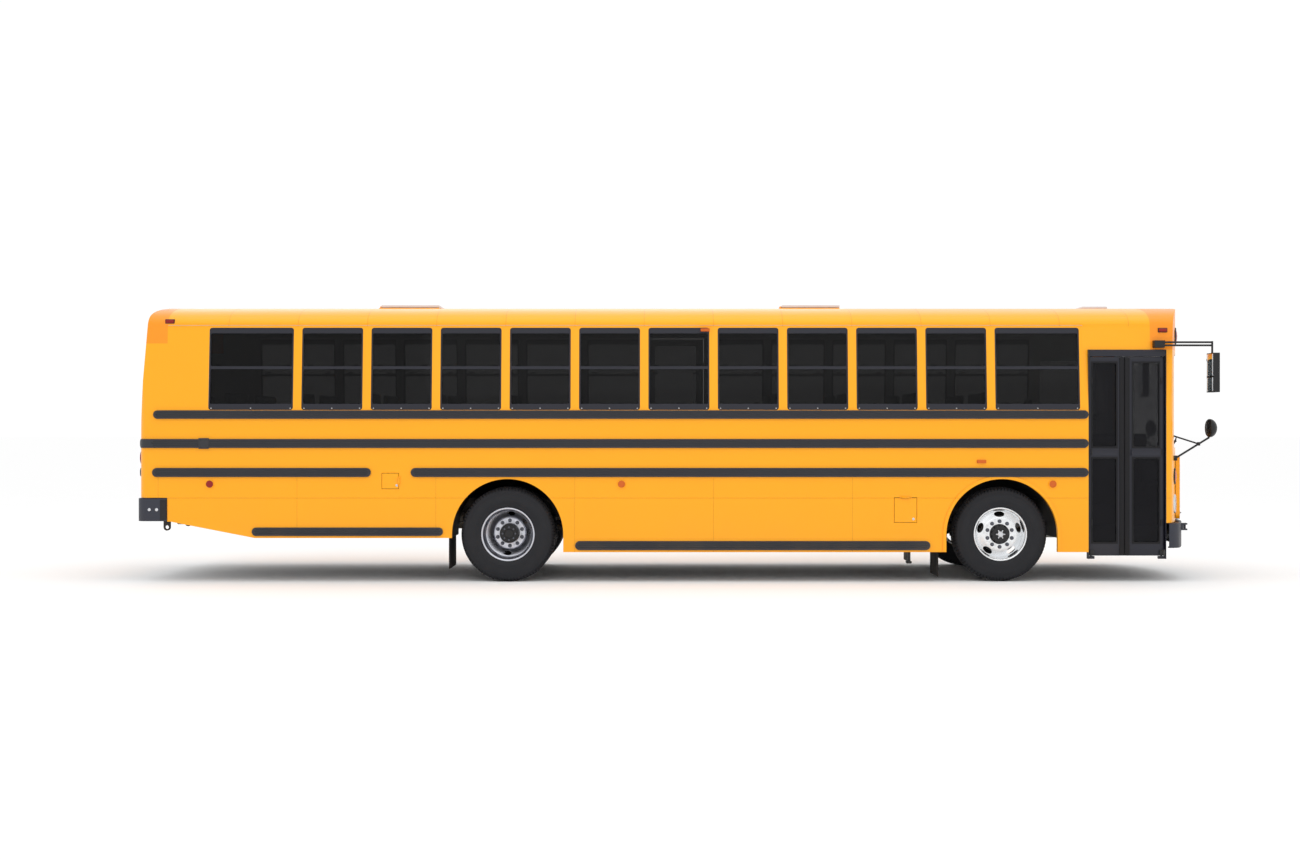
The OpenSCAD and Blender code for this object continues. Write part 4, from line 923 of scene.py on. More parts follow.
def bow_way(side, y):
    """Gives the direction that the bowed front faces at a place across it."""
    return Vector((math.sqrt(BOW_RADIUS ** 2 - y ** 2), side * y, 0)) / BOW_RADIUS


class BUS_OT_shell(bpy.types.Operator):
    """Paints the sides, roof, ends, caps, doors and flaps"""

    bl_idname = "bus.shell"
    bl_label = "Body shell"

    def execute(self, context):
        for node in ("side_wall_right", "side_wall_left", "roof", "front_wall", "rear_wall",
                     "rear_door", "side_door", "front_hood", "fuel_door", "battery_door"):
            refined(node, "body", panels=True)
        for node in ("front_cap", "rear_cap"):
            refined(node, "cap", panels=True)
        return {"FINISHED"}


class BUS_OT_windows(bpy.types.Operator):
    """Makes the navy window frames with their screws, catches and rain rails, and the glass"""

    bl_idname = "bus.windows"
    bl_label = "Windows"

    def execute(self, context):
        refined("window_frames", "navy", panels=True)
        for node, finish in (("window_glass", "side_glass"), ("windshield", "clear_glass"),
                             ("rear_door_glass", "side_glass"), ("side_door_glass", "side_glass")):
            refined(node, finish, panels=True)
        self.screws(context.scene.bus_trim.screw)
        self.catches()
        self.rain_rails()
        return {"FINISHED"}

    def screws(self, radius):
        """Adds bright domed screws along the sill of every window."""
        head = turned([(0.0004, 0.004), (radius * 0.6, 0.003), (radius, 0.0), (radius, -0.003),
                       (0.0004, -0.003)], (0, 0, 0), RIGHT, 12)
        height = SILL_Z + 0.018
        places = [(x, -window_y(height) - 0.001, height) for low, high in window_spans()
                  for x in (low + 0.03, (low + high) / 2, high - 0.03)]
        both_hands(joined("screws", spread(head, places)), "sill_screws_{}", "bus_body", "screw")

    def catches(self):
        """Adds the two pinch catches on the sash rail of every window."""
        base = rounded(block((-0.03, -0.012, -0.012), (0.03, 0.0, 0.012)), 0.003)
        tab = rounded(block((-0.011, -0.022, -0.004), (0.011, -0.008, 0.009)), 0.002)
        catch = joined("catch", [base, tab])
        catch.data.transform(Matrix.Scale(-1, 4, LEFT))
        inner = 0.052
        places = [(x, -window_y(SASH_Z) + inner, SASH_Z + 0.024) for low, high in window_spans()
                  for x in (low + 0.09, high - 0.09)]
        right = joined("catches", spread(catch, places))
        opened(right)
        bpy.ops.mesh.normals_make_consistent(inside=False)
        leave()
        both_hands(right, "sash_catches_{}", "bus_body", "black_plastic")

    def rain_rails(self):
        """Adds the thin rain rail over the windows, folded out along its lower edge."""
        rail = block((-5.70, -1.1625, 2.846), (4.48, -1.1565, 2.862))
        choose_side(rail, RIGHT)
        inset(0.004)
        extrude((0, -0.005, 0.003))
        leave()
        both_hands(rounded(rail, 0.0012), "rain_rail_{}", "bus_body", "body")


class BUS_OT_rails(bpy.types.Operator):
    """Rolls the long ribs into the charcoal rub rails and bolts them on"""

    bl_idname = "bus.rails"
    bl_label = "Rub rails"

    def execute(self, context):
        depth = context.scene.bus_trim.rib
        face = HALF_WIDTH + RAIL_PROUD
        radius = 0.009
        flutes = []
        for low, high, foot, top in RAILS:
            for share in (0.26, 0.5, 0.74):
                z = foot + (top - foot) * share
                end = 0.04 if share != 0.5 else 0.026
                y = -face - radius + depth
                flutes.append(rod((low + end, y, z), (high - end, y, z), radius, 12))
                flutes.append(another(flutes[-1], (0, -2 * y, 0)))
        for z in (1.188, 1.216, 1.244, 1.510, 1.5375, 1.565):
            x = REAR_X - RAIL_PROUD - radius + depth
            for side in SIDES:
                flutes.append(rod((x, side * 0.44, z), (x, side * 1.09, z), radius, 12))
        ribbed = refined("rub_rails", "rail")
        pierced(ribbed, joined("flutes", flutes))
        rounded(ribbed, 0.002, 2, 50.0)
        shaded(ribbed, 32.0)
        self.bolts(face)
        return {"FINISHED"}

    def bolts(self, face):
        """Adds the small domed bolts that hold each rail, in its middle flute."""
        head = turned([(0.0004, 0.0035), (0.006, 0.0028), (0.0095, 0.0), (0.0095, -0.004),
                       (0.0004, -0.004)], (0, 0, 0), RIGHT, 12)
        places = []
        for low, high, foot, top in RAILS:
            count = max(2, round((high - low) / 0.62))
            for k in range(count + 1):
                x = low + 0.06 + (high - low - 0.12) * k / count
                places.append((x, -face + 0.0055, (foot + top) / 2))
        left = both_hands(joined("bolts", spread(head, places)), "rail_bolts_{}", "bus_body",
                          "rail")
        without(left, lambda middle, normal: EXIT_X[0] < middle.x < EXIT_X[1]
                and 0.9 < middle.z < 2.0)


# ---- Wheels ----

TYRE_PROFILE = (
    (0.286, -0.097), (0.300, -0.112), (0.326, -0.1265), (0.352, -0.1335), (0.381, -0.1372),
    (0.410, -0.1372), (0.436, -0.1345), (0.462, -0.1295), (0.484, -0.1245), (0.499, -0.1180),
    (0.509, -0.1080), (0.5155, -0.0980), (0.5190, -0.0860), (0.5215, -0.0740), (0.5228, -0.0640),
    (0.5110, -0.0610), (0.5105, -0.0530), (0.5236, -0.0500), (0.5248, -0.0360), (0.5250, -0.0240),
    (0.5125, -0.0212), (0.5125, -0.0138), (0.5250, -0.0110))
RIM_BAND = (
    (0.286, -0.097), (0.290, -0.104), (0.298, -0.109), (0.298, -0.114), (0.284, -0.114),
    (0.273, -0.095), (0.2635, -0.070), (0.256, -0.030), (0.256, 0.030), (0.2635, 0.070),
    (0.271, 0.092), (0.2745, 0.100), (0.280, 0.1105), (0.286, 0.1150), (0.2925, 0.1165),
    (0.297, 0.1140), (0.298, 0.109), (0.290, 0.104), (0.286, 0.097), (0.286, -0.097))
FRONT_DISC = (
    (0.060, 0.056), (0.168, 0.056), (0.182, 0.053), (0.194, 0.046), (0.215, 0.036), (0.238, 0.027),
    (0.258, 0.018), (0.266, 0.020), (0.268, 0.031), (0.262, 0.035), (0.240, 0.042), (0.216, 0.052),
    (0.196, 0.062), (0.184, 0.068), (0.170, 0.070), (0.060, 0.070), (0.060, 0.056))
REAR_DISC = (
    (0.100, 0.001), (0.178, 0.001), (0.200, 0.016), (0.232, 0.042), (0.262, 0.066), (0.276, 0.076),
    (0.281, 0.084), (0.270, 0.091), (0.250, 0.078), (0.222, 0.055), (0.194, 0.031), (0.184, 0.020),
    (0.174, 0.014), (0.100, 0.014), (0.100, 0.001))
NUTS = 10
NUT_CIRCLE = 0.1429
HOLE_CIRCLE = 0.222
TWIN = 0.1675


class BUS_OT_wheels(bpy.types.Operator):
    """Makes the six tyres, the polished front wheels and the dished rear wheels"""

    bl_idname = "bus.wheels"
    bl_label = "Wheels"

    def execute(self, context):
        self.sizes = context.scene.bus_wheels
        tyre = self.tyre()
        front = wheel_centre("front_right_tyre")
        rear = wheel_centre("rear_right_tyres")
        for side, hand in ((-1, "right"), (1, "left")):
            one = another(tyre, (front.x, side * abs(front.y), front.z))
            one.name = f"front_{hand}_tread"
            dressed(one, f"wheel_front_{hand}", "front_tyre",
                    (f"front_{hand}_tyre",))
            pair = [another(tyre, (rear.x, side * abs(rear.y) + apart, rear.z))
                    for apart in (-TWIN, TWIN)]
            fitted(f"rear_{hand}_treads", pair, f"wheels_rear_{hand}", "rear_tyre",
                   (f"rear_{hand}_tyres",))
        bpy.data.objects.remove(tyre)
        self.front_wheels(front)
        self.rear_wheels(rear)
        return {"FINISHED"}

    def tyre(self):
        """Turns a tyre and presses the cross grooves into its shoulders."""
        far_side = [(radius, -reach) for radius, reach in reversed(TYRE_PROFILE)]
        closed = [*TYRE_PROFILE, *far_side, TYRE_PROFILE[0]]
        steps = self.sizes.lugs * 3
        tyre = turned(closed, (0, 0, 0), RIGHT, steps)

        def in_groove(middle, normal):
            column = int(math.atan2(middle.x, middle.z) / (2 * math.pi) * steps + steps)
            shoulder = 0.063 < abs(middle.y) < 0.124
            rib = 0.024 < abs(middle.y) < 0.0495
            radius = math.hypot(middle.x, middle.z)
            return radius > 0.49 and ((shoulder and column % 3 == 0) or (rib and column % 6 == 2))

        choose_faces(tyre, in_groove)
        bpy.ops.mesh.extrude_region_shrink_fatten(
            TRANSFORM_OT_shrink_fatten={"value": -self.sizes.groove})
        leave()
        return tyre

    def nuts(self, centre, reach):
        """Sets hexagon nuts with their studs in a circle on a right-hand wheel."""
        width = self.sizes.nut
        flats = width / math.sqrt(3)
        start = Vector((centre.x + NUT_CIRCLE, -reach, centre.z))
        washer = rod(start, start + Vector((0, -0.005, 0)), width * 0.66, 20)
        nut = rounded(rod(start, start + Vector((0, -0.024, 0)), flats, 6), 0.002)
        stud = rounded(rod(start, start + Vector((0, -0.034, 0)), 0.011, 14), 0.0015)
        angles = [2 * math.pi * (k + 0.5) / NUTS for k in range(NUTS)]
        return spun(joined("nut", [washer, nut, stud]), centre, angles)

    def hand_holes(self, disc, place, angles, radius, sides, stretch):
        """Cuts oval hand holes through a wheel disc at angles about its middle."""
        hole = rod((0, -0.2, 0), (0, 0.2, 0), radius, sides)
        hole.scale = (stretch, 1, 1)
        settle(hole)
        out = Matrix.Translation(place + Vector((0, 0, HOLE_CIRCLE)))
        holes = [another(hole, turn=spun_about(place, LEFT, angle) @ out) for angle in angles]
        bpy.data.objects.remove(hole)
        return pierced(disc, joined("holes", holes))

    def front_wheels(self, centre):
        """Polished disc wheels with five oval hand holes, nuts and a black hub."""
        middle = -abs(centre.y)
        place = Vector((centre.x, middle, centre.z))
        rim = joined("rim", [turned(RIM_BAND, place, RIGHT, 96)])
        disc = turned(FRONT_DISC, place, RIGHT, 96)
        angles = [2 * math.pi * k / 5 for k in range(5)]
        stretch = self.sizes.hole_length / (2 * 0.031)
        rounded(self.hand_holes(disc, place, angles, 0.031, 28, stretch), 0.0035, 3, 40.0)
        both_hands(joined("wheel", [rim, disc]), "front_{}_wheel", "wheel_front_{}",
                   "front_metal", "front_{}_rim")
        reach = -middle + 0.070
        both_hands(joined("nuts", self.nuts(place, reach)), "front_{}_nuts", "wheel_front_{}",
                   "nut_metal")
        hub = turned([(0.001, -0.06), (0.070, -0.06), (0.112, 0.060), (0.112, 0.074),
                      (0.104, 0.080), (0.097, 0.086), (0.094, 0.112), (0.088, 0.119),
                      (0.064, 0.121), (0.058, 0.117), (0.001, 0.116)], place, RIGHT, 64)
        drum = turned([(0.060, -0.068), (0.206, -0.068), (0.208, -0.060), (0.208, 0.030),
                       (0.190, 0.044), (0.060, 0.048), (0.060, -0.068)], place, RIGHT, 64)
        both_hands(joined("hub", [hub, drum]), "front_{}_hub", "wheel_front_{}", "hub")
        both_hands(self.star(place), "front_{}_star", "wheel_front_{}", "star")

    def star(self, place):
        """Six-armed bright flange in the middle of a front hub."""
        arm = block((-0.052, -0.126, -0.011), (0.052, -0.114, 0.011))
        choose_faces(arm, lambda middle, normal: abs(normal.x) > 0.5)
        bpy.ops.transform.resize(value=(1, 1, 0.55))
        leave()
        rounded(arm, 0.003)
        arms = [another(arm, place, Matrix.Rotation(math.pi * k / 3, 4, LEFT)) for k in range(3)]
        bpy.data.objects.remove(arm)
        cap = turned([(0.001, 0.110), (0.030, 0.110), (0.032, 0.124), (0.026, 0.130),
                      (0.001, 0.131)], place, RIGHT, 32)
        return joined("star", [*arms, cap])

    def rear_wheels(self, centre):
        """Deep dished twin wheels with a bright lip, nuts and a dark drive hub."""
        place = Vector((centre.x, -abs(centre.y), centre.z))
        outer, inner = (
            turned([(radius, reach + apart) for radius, reach in RIM_BAND], place, RIGHT, 96)
            for apart in (TWIN, -TWIN))
        outer_disc = turned(REAR_DISC, place, RIGHT, 96)
        inner_disc = turned([(radius, -reach) for radius, reach in REAR_DISC], place, RIGHT, 96)
        angles = [math.pi * (k + 0.03) for k in range(2)]
        discs = [rounded(self.hand_holes(disc, place, angles, 0.024, 24, 1.7), 0.003, 2, 40.0)
                 for disc in (outer_disc, inner_disc)]
        seat = turned([(0.108, 0.013), (0.174, 0.013), (0.176, 0.017), (0.170, 0.022),
                       (0.112, 0.024), (0.108, 0.020), (0.108, 0.013)], place, RIGHT, 64)
        both_hands(joined("wheels", [outer, inner, seat, *discs]), "rear_{}_wheels",
                   "wheels_rear_{}", "rear_metal", "rear_{}_rims")
        both_hands(joined("nuts", self.nuts(place, -place.y + 0.022)), "rear_{}_nuts",
                   "wheels_rear_{}", "nut_metal")
        hub = turned([(0.001, -0.03), (0.104, -0.03), (0.107, 0.060), (0.107, 0.122),
                      (0.101, 0.132), (0.090, 0.134), (0.086, 0.141), (0.052, 0.144),
                      (0.046, 0.150), (0.001, 0.151)], place, RIGHT, 64)
        start = place + Vector((0.072, -0.138, 0))
        bolt = rounded(rod(start, start + Vector((0, -0.016, 0)), 0.011, 6), 0.0015)
        bolts = spun(bolt, place, [2 * math.pi * k / 8 for k in range(8)])
        drum = turned([(0.150, -0.245), (0.206, -0.245), (0.208, -0.240), (0.208, -0.012),
                       (0.200, -0.002), (0.090, -0.002), (0.090, -0.03), (0.150, -0.03),
                       (0.150, -0.245)], place, RIGHT, 64)
        both_hands(joined("hub", [hub, drum]), "rear_{}_hub", "wheels_rear_{}", "hub")
        both_hands(joined("bolts", bolts), "rear_{}_hub_bolts", "wheels_rear_{}", "nut_metal")


class BUS_OT_finishes(bpy.types.Operator):
    """Mixes every finish from the colours in the panel"""

    bl_idname = "bus.finishes"
    bl_label = "Finishes"

    def execute(self, context):
        mix_finishes()
        return {"FINISHED"}


# ---- Bumpers, lamps and mirrors ----

class BUS_OT_bumpers(bpy.types.Operator):
    """Finishes both bumpers and adds their bolts, end strips and blank plate"""

    bl_idname = "bus.bumpers"
    bl_label = "Bumpers"

    def execute(self, context):
        refined("front_bumper", "bumper", 28.0, 0.004)
        refined("rear_bumper", "bumper", 28.0, 0.002)
        bolts = []
        for side in SIDES:
            for x in (-5.888, -5.807):
                start = Vector((x, side * 1.228, 0.803))
                dome = turned([(0.0004, 0.008), (0.010, 0.007), (0.017, 0.002), (0.018, -0.002),
                               (0.0004, -0.002)], start, (0, side, 0), 18)
                bolts.append(dome)
        for y in (-0.62, -0.30, 0.30, 0.62):
            bolts.append(turned([(0.0004, 0.006), (0.012, 0.005), (0.018, 0.0), (0.018, -0.004),
                                 (0.0004, -0.004)], (-6.0325, y, 0.80), (-1, 0, 0), 18))
        fitted("bumper_bolts", bolts, "bus_body", "bright")
        strips = []
        for side in SIDES:
            strip = block((-5.769, side * 1.2285 - 0.002, 0.690),
                          (-5.694, side * 1.2285 + 0.002, 0.913))
            choose_side(strip, (0, side, 0))
            inset(0.007)
            extrude((0, side * 0.003, 0))
            leave()
            strips.append(strip)
        fitted("bumper_end_strips", strips, "bus_body", "black")
        plate = rounded(block((-6.0370, -0.155, 0.700), (-6.0335, 0.155, 0.855)), 0.0015)
        choose_faces(plate, lambda middle, normal: normal.x < -0.9)
        inset(0.008, -0.001)
        leave()
        plate.name = "blank_plate"
        dressed(plate, "bus_body", "lining")
        return {"FINISHED"}


class BUS_OT_lamps(bpy.types.Operator):
    """Makes the head lamps, and gives every other lamp its lens, seat and bezel"""

    bl_idname = "bus.lamps"
    bl_label = "Lamps"

    def execute(self, context):
        self.head_lamps()
        for node, finish in (("amber_lamps", "amber_lens"), ("red_lamps", "red_lens")):
            piece = refined(node, finish, 28.0, 0.004)
            without(piece, lambda middle, normal: middle.x > BOW_LAMPS_X)
        self.front_lenses()
        self.front_bezels()
        self.rear_bezels()
        self.reflector_rims()
        self.marker_guards()
        return {"FINISHED"}

    def head_lamps(self):
        """Makes each head lamp from a stepped bright bowl, a bulb cover and a fluted lens."""
        bowls, lenses = [], []
        for side in SIDES:
            way = bow_way(side, 1.0)
            place = Vector((bow_x(1.0), side, 0.860)) - way * 0.004
            bowls.append(turned([(0.001, 0.004), (0.020, 0.004), (0.024, 0.010), (0.030, 0.002),
                                 (0.056, 0.004), (0.058, 0.006), (0.078, 0.008), (0.094, 0.013),
                                 (0.094, -0.012), (0.001, -0.012)], place, way, 48))
            lenses.append(turned([(0.001, 0.021), (0.040, 0.020), (0.072, 0.017), (0.090, 0.011),
                                  (0.094, 0.004), (0.090, 0.008), (0.070, 0.014), (0.040, 0.017),
                                  (0.001, 0.018)], place, way, 48))
        fitted("head_lamp_bowls", bowls, "bus_body", "bright")
        fitted("head_lamp_lenses", lenses, "bus_body", "clear_lens", ("head_lamps",))

    def front_lenses(self):
        """Turns the domed lenses of the front's round lamps, square to the bow."""
        made = {"amber_lens": [], "red_lens": []}
        for side in SIDES:
            for finish, y, z, radius in (("amber_lens", 1.000, 1.169, 0.078),
                                         ("amber_lens", 0.640, 2.745, 0.085),
                                         ("red_lens", 0.900, 2.745, 0.085)):
                way, place = bow_way(side, y), (bow_x(y), side * y, z)
                profile = [(0.001, 0.024), (radius * 0.5, 0.021), (radius * 0.8, 0.014),
                           (radius * 0.95, 0.006), (radius, -0.004), (radius, -0.014),
                           (0.001, -0.014)]
                made[finish].append(turned(profile, place, way, 48))
        for finish, parts in made.items():
            fitted(f"front_{finish}es", parts, "bus_body", finish)

    def ring(self, place, way, radius, width, depth):
        """Turns one raised bezel round a lamp."""
        return turned([(radius, -0.02), (radius, depth), (radius + width * 0.3, depth + 0.004),
                       (radius + width * 0.8, depth * 0.6), (radius + width, 0.0),
                       (radius + width, -0.02), (radius, -0.02)], place, way, 40)

    def front_bezels(self):
        """Bright rings round the head lamps and black ones round the front's other lamps."""
        bright, black = [], []
        for side in SIDES:
            for y, z, radius in ((1.000, 0.860, 0.095), (1.000, 1.169, 0.078),
                                 (0.640, 2.745, 0.085), (0.900, 2.745, 0.085)):
                place = (bow_x(y) - 0.004, side * y, z)
                made = self.ring(place, bow_way(side, y), radius + 0.001, 0.016, 0.012)
                (bright if z < 1 else black).append(made)
        fitted("head_lamp_bezels", bright, "bus_body", "bright")
        fitted("front_lamp_seats", black, "bus_body", "black")

    def rear_bezels(self):
        """Black rings round the lamps on the rear face."""
        rings = []
        for side in SIDES:
            for y, z, radius in ((0.640, 2.790, 0.085), (0.900, 2.790, 0.085),
                                 (1.000, 1.378, 0.085), (0.760, 1.050, 0.060)):
                x = REAR_X + max(0.0, z - 1.580) * math.tan(math.radians(3.8))
                place = (x + 0.002, side * y, z)
                rings.append(self.ring(place, BEHIND, radius + 0.001, 0.013, 0.008))
        fitted("rear_lamp_seats", rings, "bus_body", "black")

    def reflector_rims(self):
        """Thin rims round the six side reflectors."""
        rims = []
        for side in SIDES:
            for x in (REAR_X + 0.793, -0.651, 4.133):
                rims.append(turned([(0.0405, 0.0), (0.0405, 0.013), (0.0435, 0.0145),
                                    (0.047, 0.010), (0.048, 0.0), (0.0405, 0.0)],
                                   (x, side * HALF_WIDTH, 1.087), (0, side, 0), 36))
        fitted("reflector_rims", rims, "bus_body", "arm")

    def marker_guards(self):
        """Adds the small red corner markers at the roof's ends, on their black bases."""
        lenses, bases = [], []
        for side in SIDES:
            for x, z in ((-5.682, 2.896), (5.370, 2.798)):
                y = window_y(z) if z < 2.85 else 1.146
                lens_block = block((x - 0.046, side * y - 0.020, z - 0.019),
                                   (x + 0.046, side * y + 0.020, z + 0.019))
                base = block((x - 0.052, side * (y - 0.006) - 0.018, z - 0.025),
                             (x + 0.052, side * (y - 0.006) + 0.018, z + 0.025))
                lenses.append(rounded(lens_block, 0.010, 4))
                bases.append(rounded(base, 0.005, 2))
        fitted("corner_marker_lenses", lenses, "bus_body", "red_lens")
        fitted("corner_marker_bases", bases, "bus_body", "black")


class BUS_OT_mirrors(bpy.types.Operator):
    """Finishes the mirrors, sets the glass into their heads and adds the cross-view domes, whose
    amber is a painted reflection of the orange body
    """

    bl_idname = "bus.mirrors"
    bl_label = "Mirrors"

    def execute(self, context):
        refined("mirrors", "black", 35.0, 0.006)
        panes, braces, domes = [], [], []
        for side in SIDES:
            low, high = sorted((side * 1.335, side * 1.128))
            for foot, top in ((2.285, 2.530), (2.115, 2.270)):
                pane = block((5.868, low + 0.008, foot), (5.8765, high - 0.004, top))
                choose_side(pane, BEHIND)
                inset(0.006)
                extrude((-0.0025, 0, 0))
                leave()
                panes.append(rounded(pane, 0.002))
            braces.append(rod((5.470, side * 1.050, 1.640), (5.815, side * 1.050, 1.530),
                              0.009, 14))
            braces.append(rounded(block((5.435, side * 1.050 - 0.022, 1.615),
                                        (5.500, side * 1.050 + 0.022, 1.668)), 0.004))
            braces.append(rounded(rod((5.812, side * 1.050, 1.512), (5.812, side * 1.050, 1.552),
                                      0.017, 16), 0.003))
            # Cross-view domes: the convex mirror face, coloured amber as a painted reflection of
            # the orange body.
            domes.append(turned([(0.001, 0.006), (0.060, 0.005), (0.086, 0.002), (0.092, -0.002),
                                 (0.086, -0.004), (0.001, -0.004)], (5.929, side * 1.050, 1.708),
                                (-1, 0, 0), 48))
        fitted("mirror_panes", panes, "bus_body", "mirror")
        fitted("mirror_struts", braces, "bus_body", "black")
        # Painted reflection: the domes take the amber lens finish to stand for the orange body seen
        # in the convex mirrors.
        fitted("cross_view_painted_reflections", domes, "bus_body", "amber_lens")
        return {"FINISHED"}


# ---- Entrance ----

class BUS_OT_entrance(bpy.types.Operator):
    """Finishes the two entrance leaves with their panes, seals, mid rails and pivots"""

    bl_idname = "bus.entrance"
    bl_label = "Entrance door"

    def execute(self, context):
        refined("door_frame", "navy")
        for hand, inner, outer in (("rear", 4.852, 4.582), ("front", 5.037, 5.325)):
            body = f"entrance_leaf_{hand}"
            refined(body, "navy", 30.0, 0.003)
            refined(f"entrance_glass_{hand}", "door_glass", panels=True)
            low, high = sorted((inner, outer))
            self.leaf(hand, body, low, high)
        return {"FINISHED"}

    def leaf(self, hand, body, low, high):
        """Adds pane surrounds, a ribbed mid rail and pivot brackets to one leaf."""
        face = -1.180
        frames = []
        for foot, top in ((0.437, 1.372), (1.500, 2.436)):
            frame_block = rounded(block((low - 0.014, face - 0.004, foot - 0.014),
                                        (high + 0.014, face + 0.004, top + 0.014)), 0.002)
            hole = block((low + 0.004, face - 0.05, foot + 0.004),
                         (high - 0.004, face + 0.05, top - 0.004))
            choose_edges(hole, lambda a, b: abs(a.y - b.y) > 0.05)
            bpy.ops.mesh.bevel(offset=0.022, segments=5)
            leave()
            frames.append(rounded(pierced(frame_block, hole), 0.0015))
        fitted(f"pane_surrounds_{hand}", frames, body, "rubber")
        rail = block((low - 0.02, face - 0.010, 1.398), (high + 0.02, face + 0.003, 1.474))
        choose_side(rail, RIGHT)
        inset(0.010)
        inset(0.006, -0.004)
        leave()
        rail.name = f"mid_rail_{hand}"
        dressed(rounded(rail, 0.002), body, "navy")
        seal_x = 4.936 if hand == "rear" else 4.942
        reach = -0.052 if hand == "rear" else 0.055
        strip = block((min(seal_x, seal_x + reach), face - 0.009, 0.300),
                      (max(seal_x, seal_x + reach), face + 0.003, 2.492))
        choose_side(strip, RIGHT)
        inset(0.006, 0.004)
        leave()
        strip.name = f"middle_seal_{hand}"
        dressed(rounded(strip, 0.002), body, "rubber")
        outer_x = 4.575 if hand == "rear" else 5.351
        foot = rounded(block((outer_x - 0.024, face - 0.014, 0.296),
                             (outer_x + 0.024, face + 0.004, 0.352)), 0.004)
        hinge = [rounded(rod((outer_x, face - 0.006, z), (outer_x, face - 0.006, z + 0.07),
                             0.008, 14), 0.002) for z in (0.62, 1.41, 2.2)]
        fitted(f"pivots_{hand}", [foot, *hinge], body, "black")


# ---- Roof, arms and front ----

class BUS_OT_roof_fittings(bpy.types.Operator):
    """Finishes the pale roof hatches with ribs, and adds the roof vent's cover"""

    bl_idname = "bus.roof_fittings"
    bl_label = "Roof hatches"

    def execute(self, context):
        for hand in ("rear", "front"):
            node = f"roof_hatch_{hand}"
            refined(node, "hatch", 28.0, 0.006)
            low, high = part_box(node)
            frame_x = (low.x + 0.05, high.x - 0.02)
            crown = block((frame_x[0] + 0.04, -0.23, high.z - 0.012),
                          (frame_x[1] - 0.04, 0.23, high.z - 0.004))
            choose_side(crown, UP)
            inset(0.03, 0.0035)
            inset(0.05, -0.002)
            leave()
            ribs = [rounded(block((frame_x[0] + 0.14 + k * 0.11, -0.16, high.z - 0.010),
                                  (frame_x[0] + 0.15 + k * 0.11, 0.16, high.z - 0.001)), 0.0015)
                    for k in range(4)]
            fitted(f"hatch_crown_{hand}", [rounded(crown, 0.002), *ribs], node, "hatch")
        cover = rounded(block((4.754, -0.146, 3.112), (5.051, 0.146, 3.1435)), 0.010, 3)
        louvres = [rounded(block((4.790 + k * 0.055, -0.110, 3.140),
                                 (4.812 + k * 0.055, 0.110, 3.1448)), 0.002) for k in range(5)]
        fitted("roof_vent_cover", [cover, *louvres], "bus_body", "hatch")
        return {"FINISHED"}


class BUS_OT_arms(bpy.types.Operator):
    """Finishes the blank stop arm with its two lamps and the crossing arm"""

    bl_idname = "bus.arms"
    bl_label = "Stop and crossing arms"

    def execute(self, context):
        refined("stop_arm", "sign")
        refined("crossing_arm", "navy")
        low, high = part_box("stop_arm")
        middle_x, middle_z = low.x + SIGN_REACH, (low.z + high.z) / 2
        lamps, seats = [], []
        for z in (middle_z + 0.15, middle_z - 0.15):
            lamps.append(turned([(0.001, 0.014), (0.022, 0.011), (0.036, 0.004), (0.038, 0.0),
                                 (0.001, 0.0)], (middle_x, 1.262, z), (0, 1, 0), 32))
            seats.append(turned([(0.037, 0.0), (0.037, 0.006), (0.043, 0.006), (0.045, 0.0),
                                 (0.037, 0.0)], (middle_x, 1.262, z), (0, 1, 0), 32))
        fitted("stop_arm_lamps", lamps, "stop_arm", "red_lens")
        fitted("stop_arm_lamp_seats", seats, "stop_arm", "black")
        return {"FINISHED"}


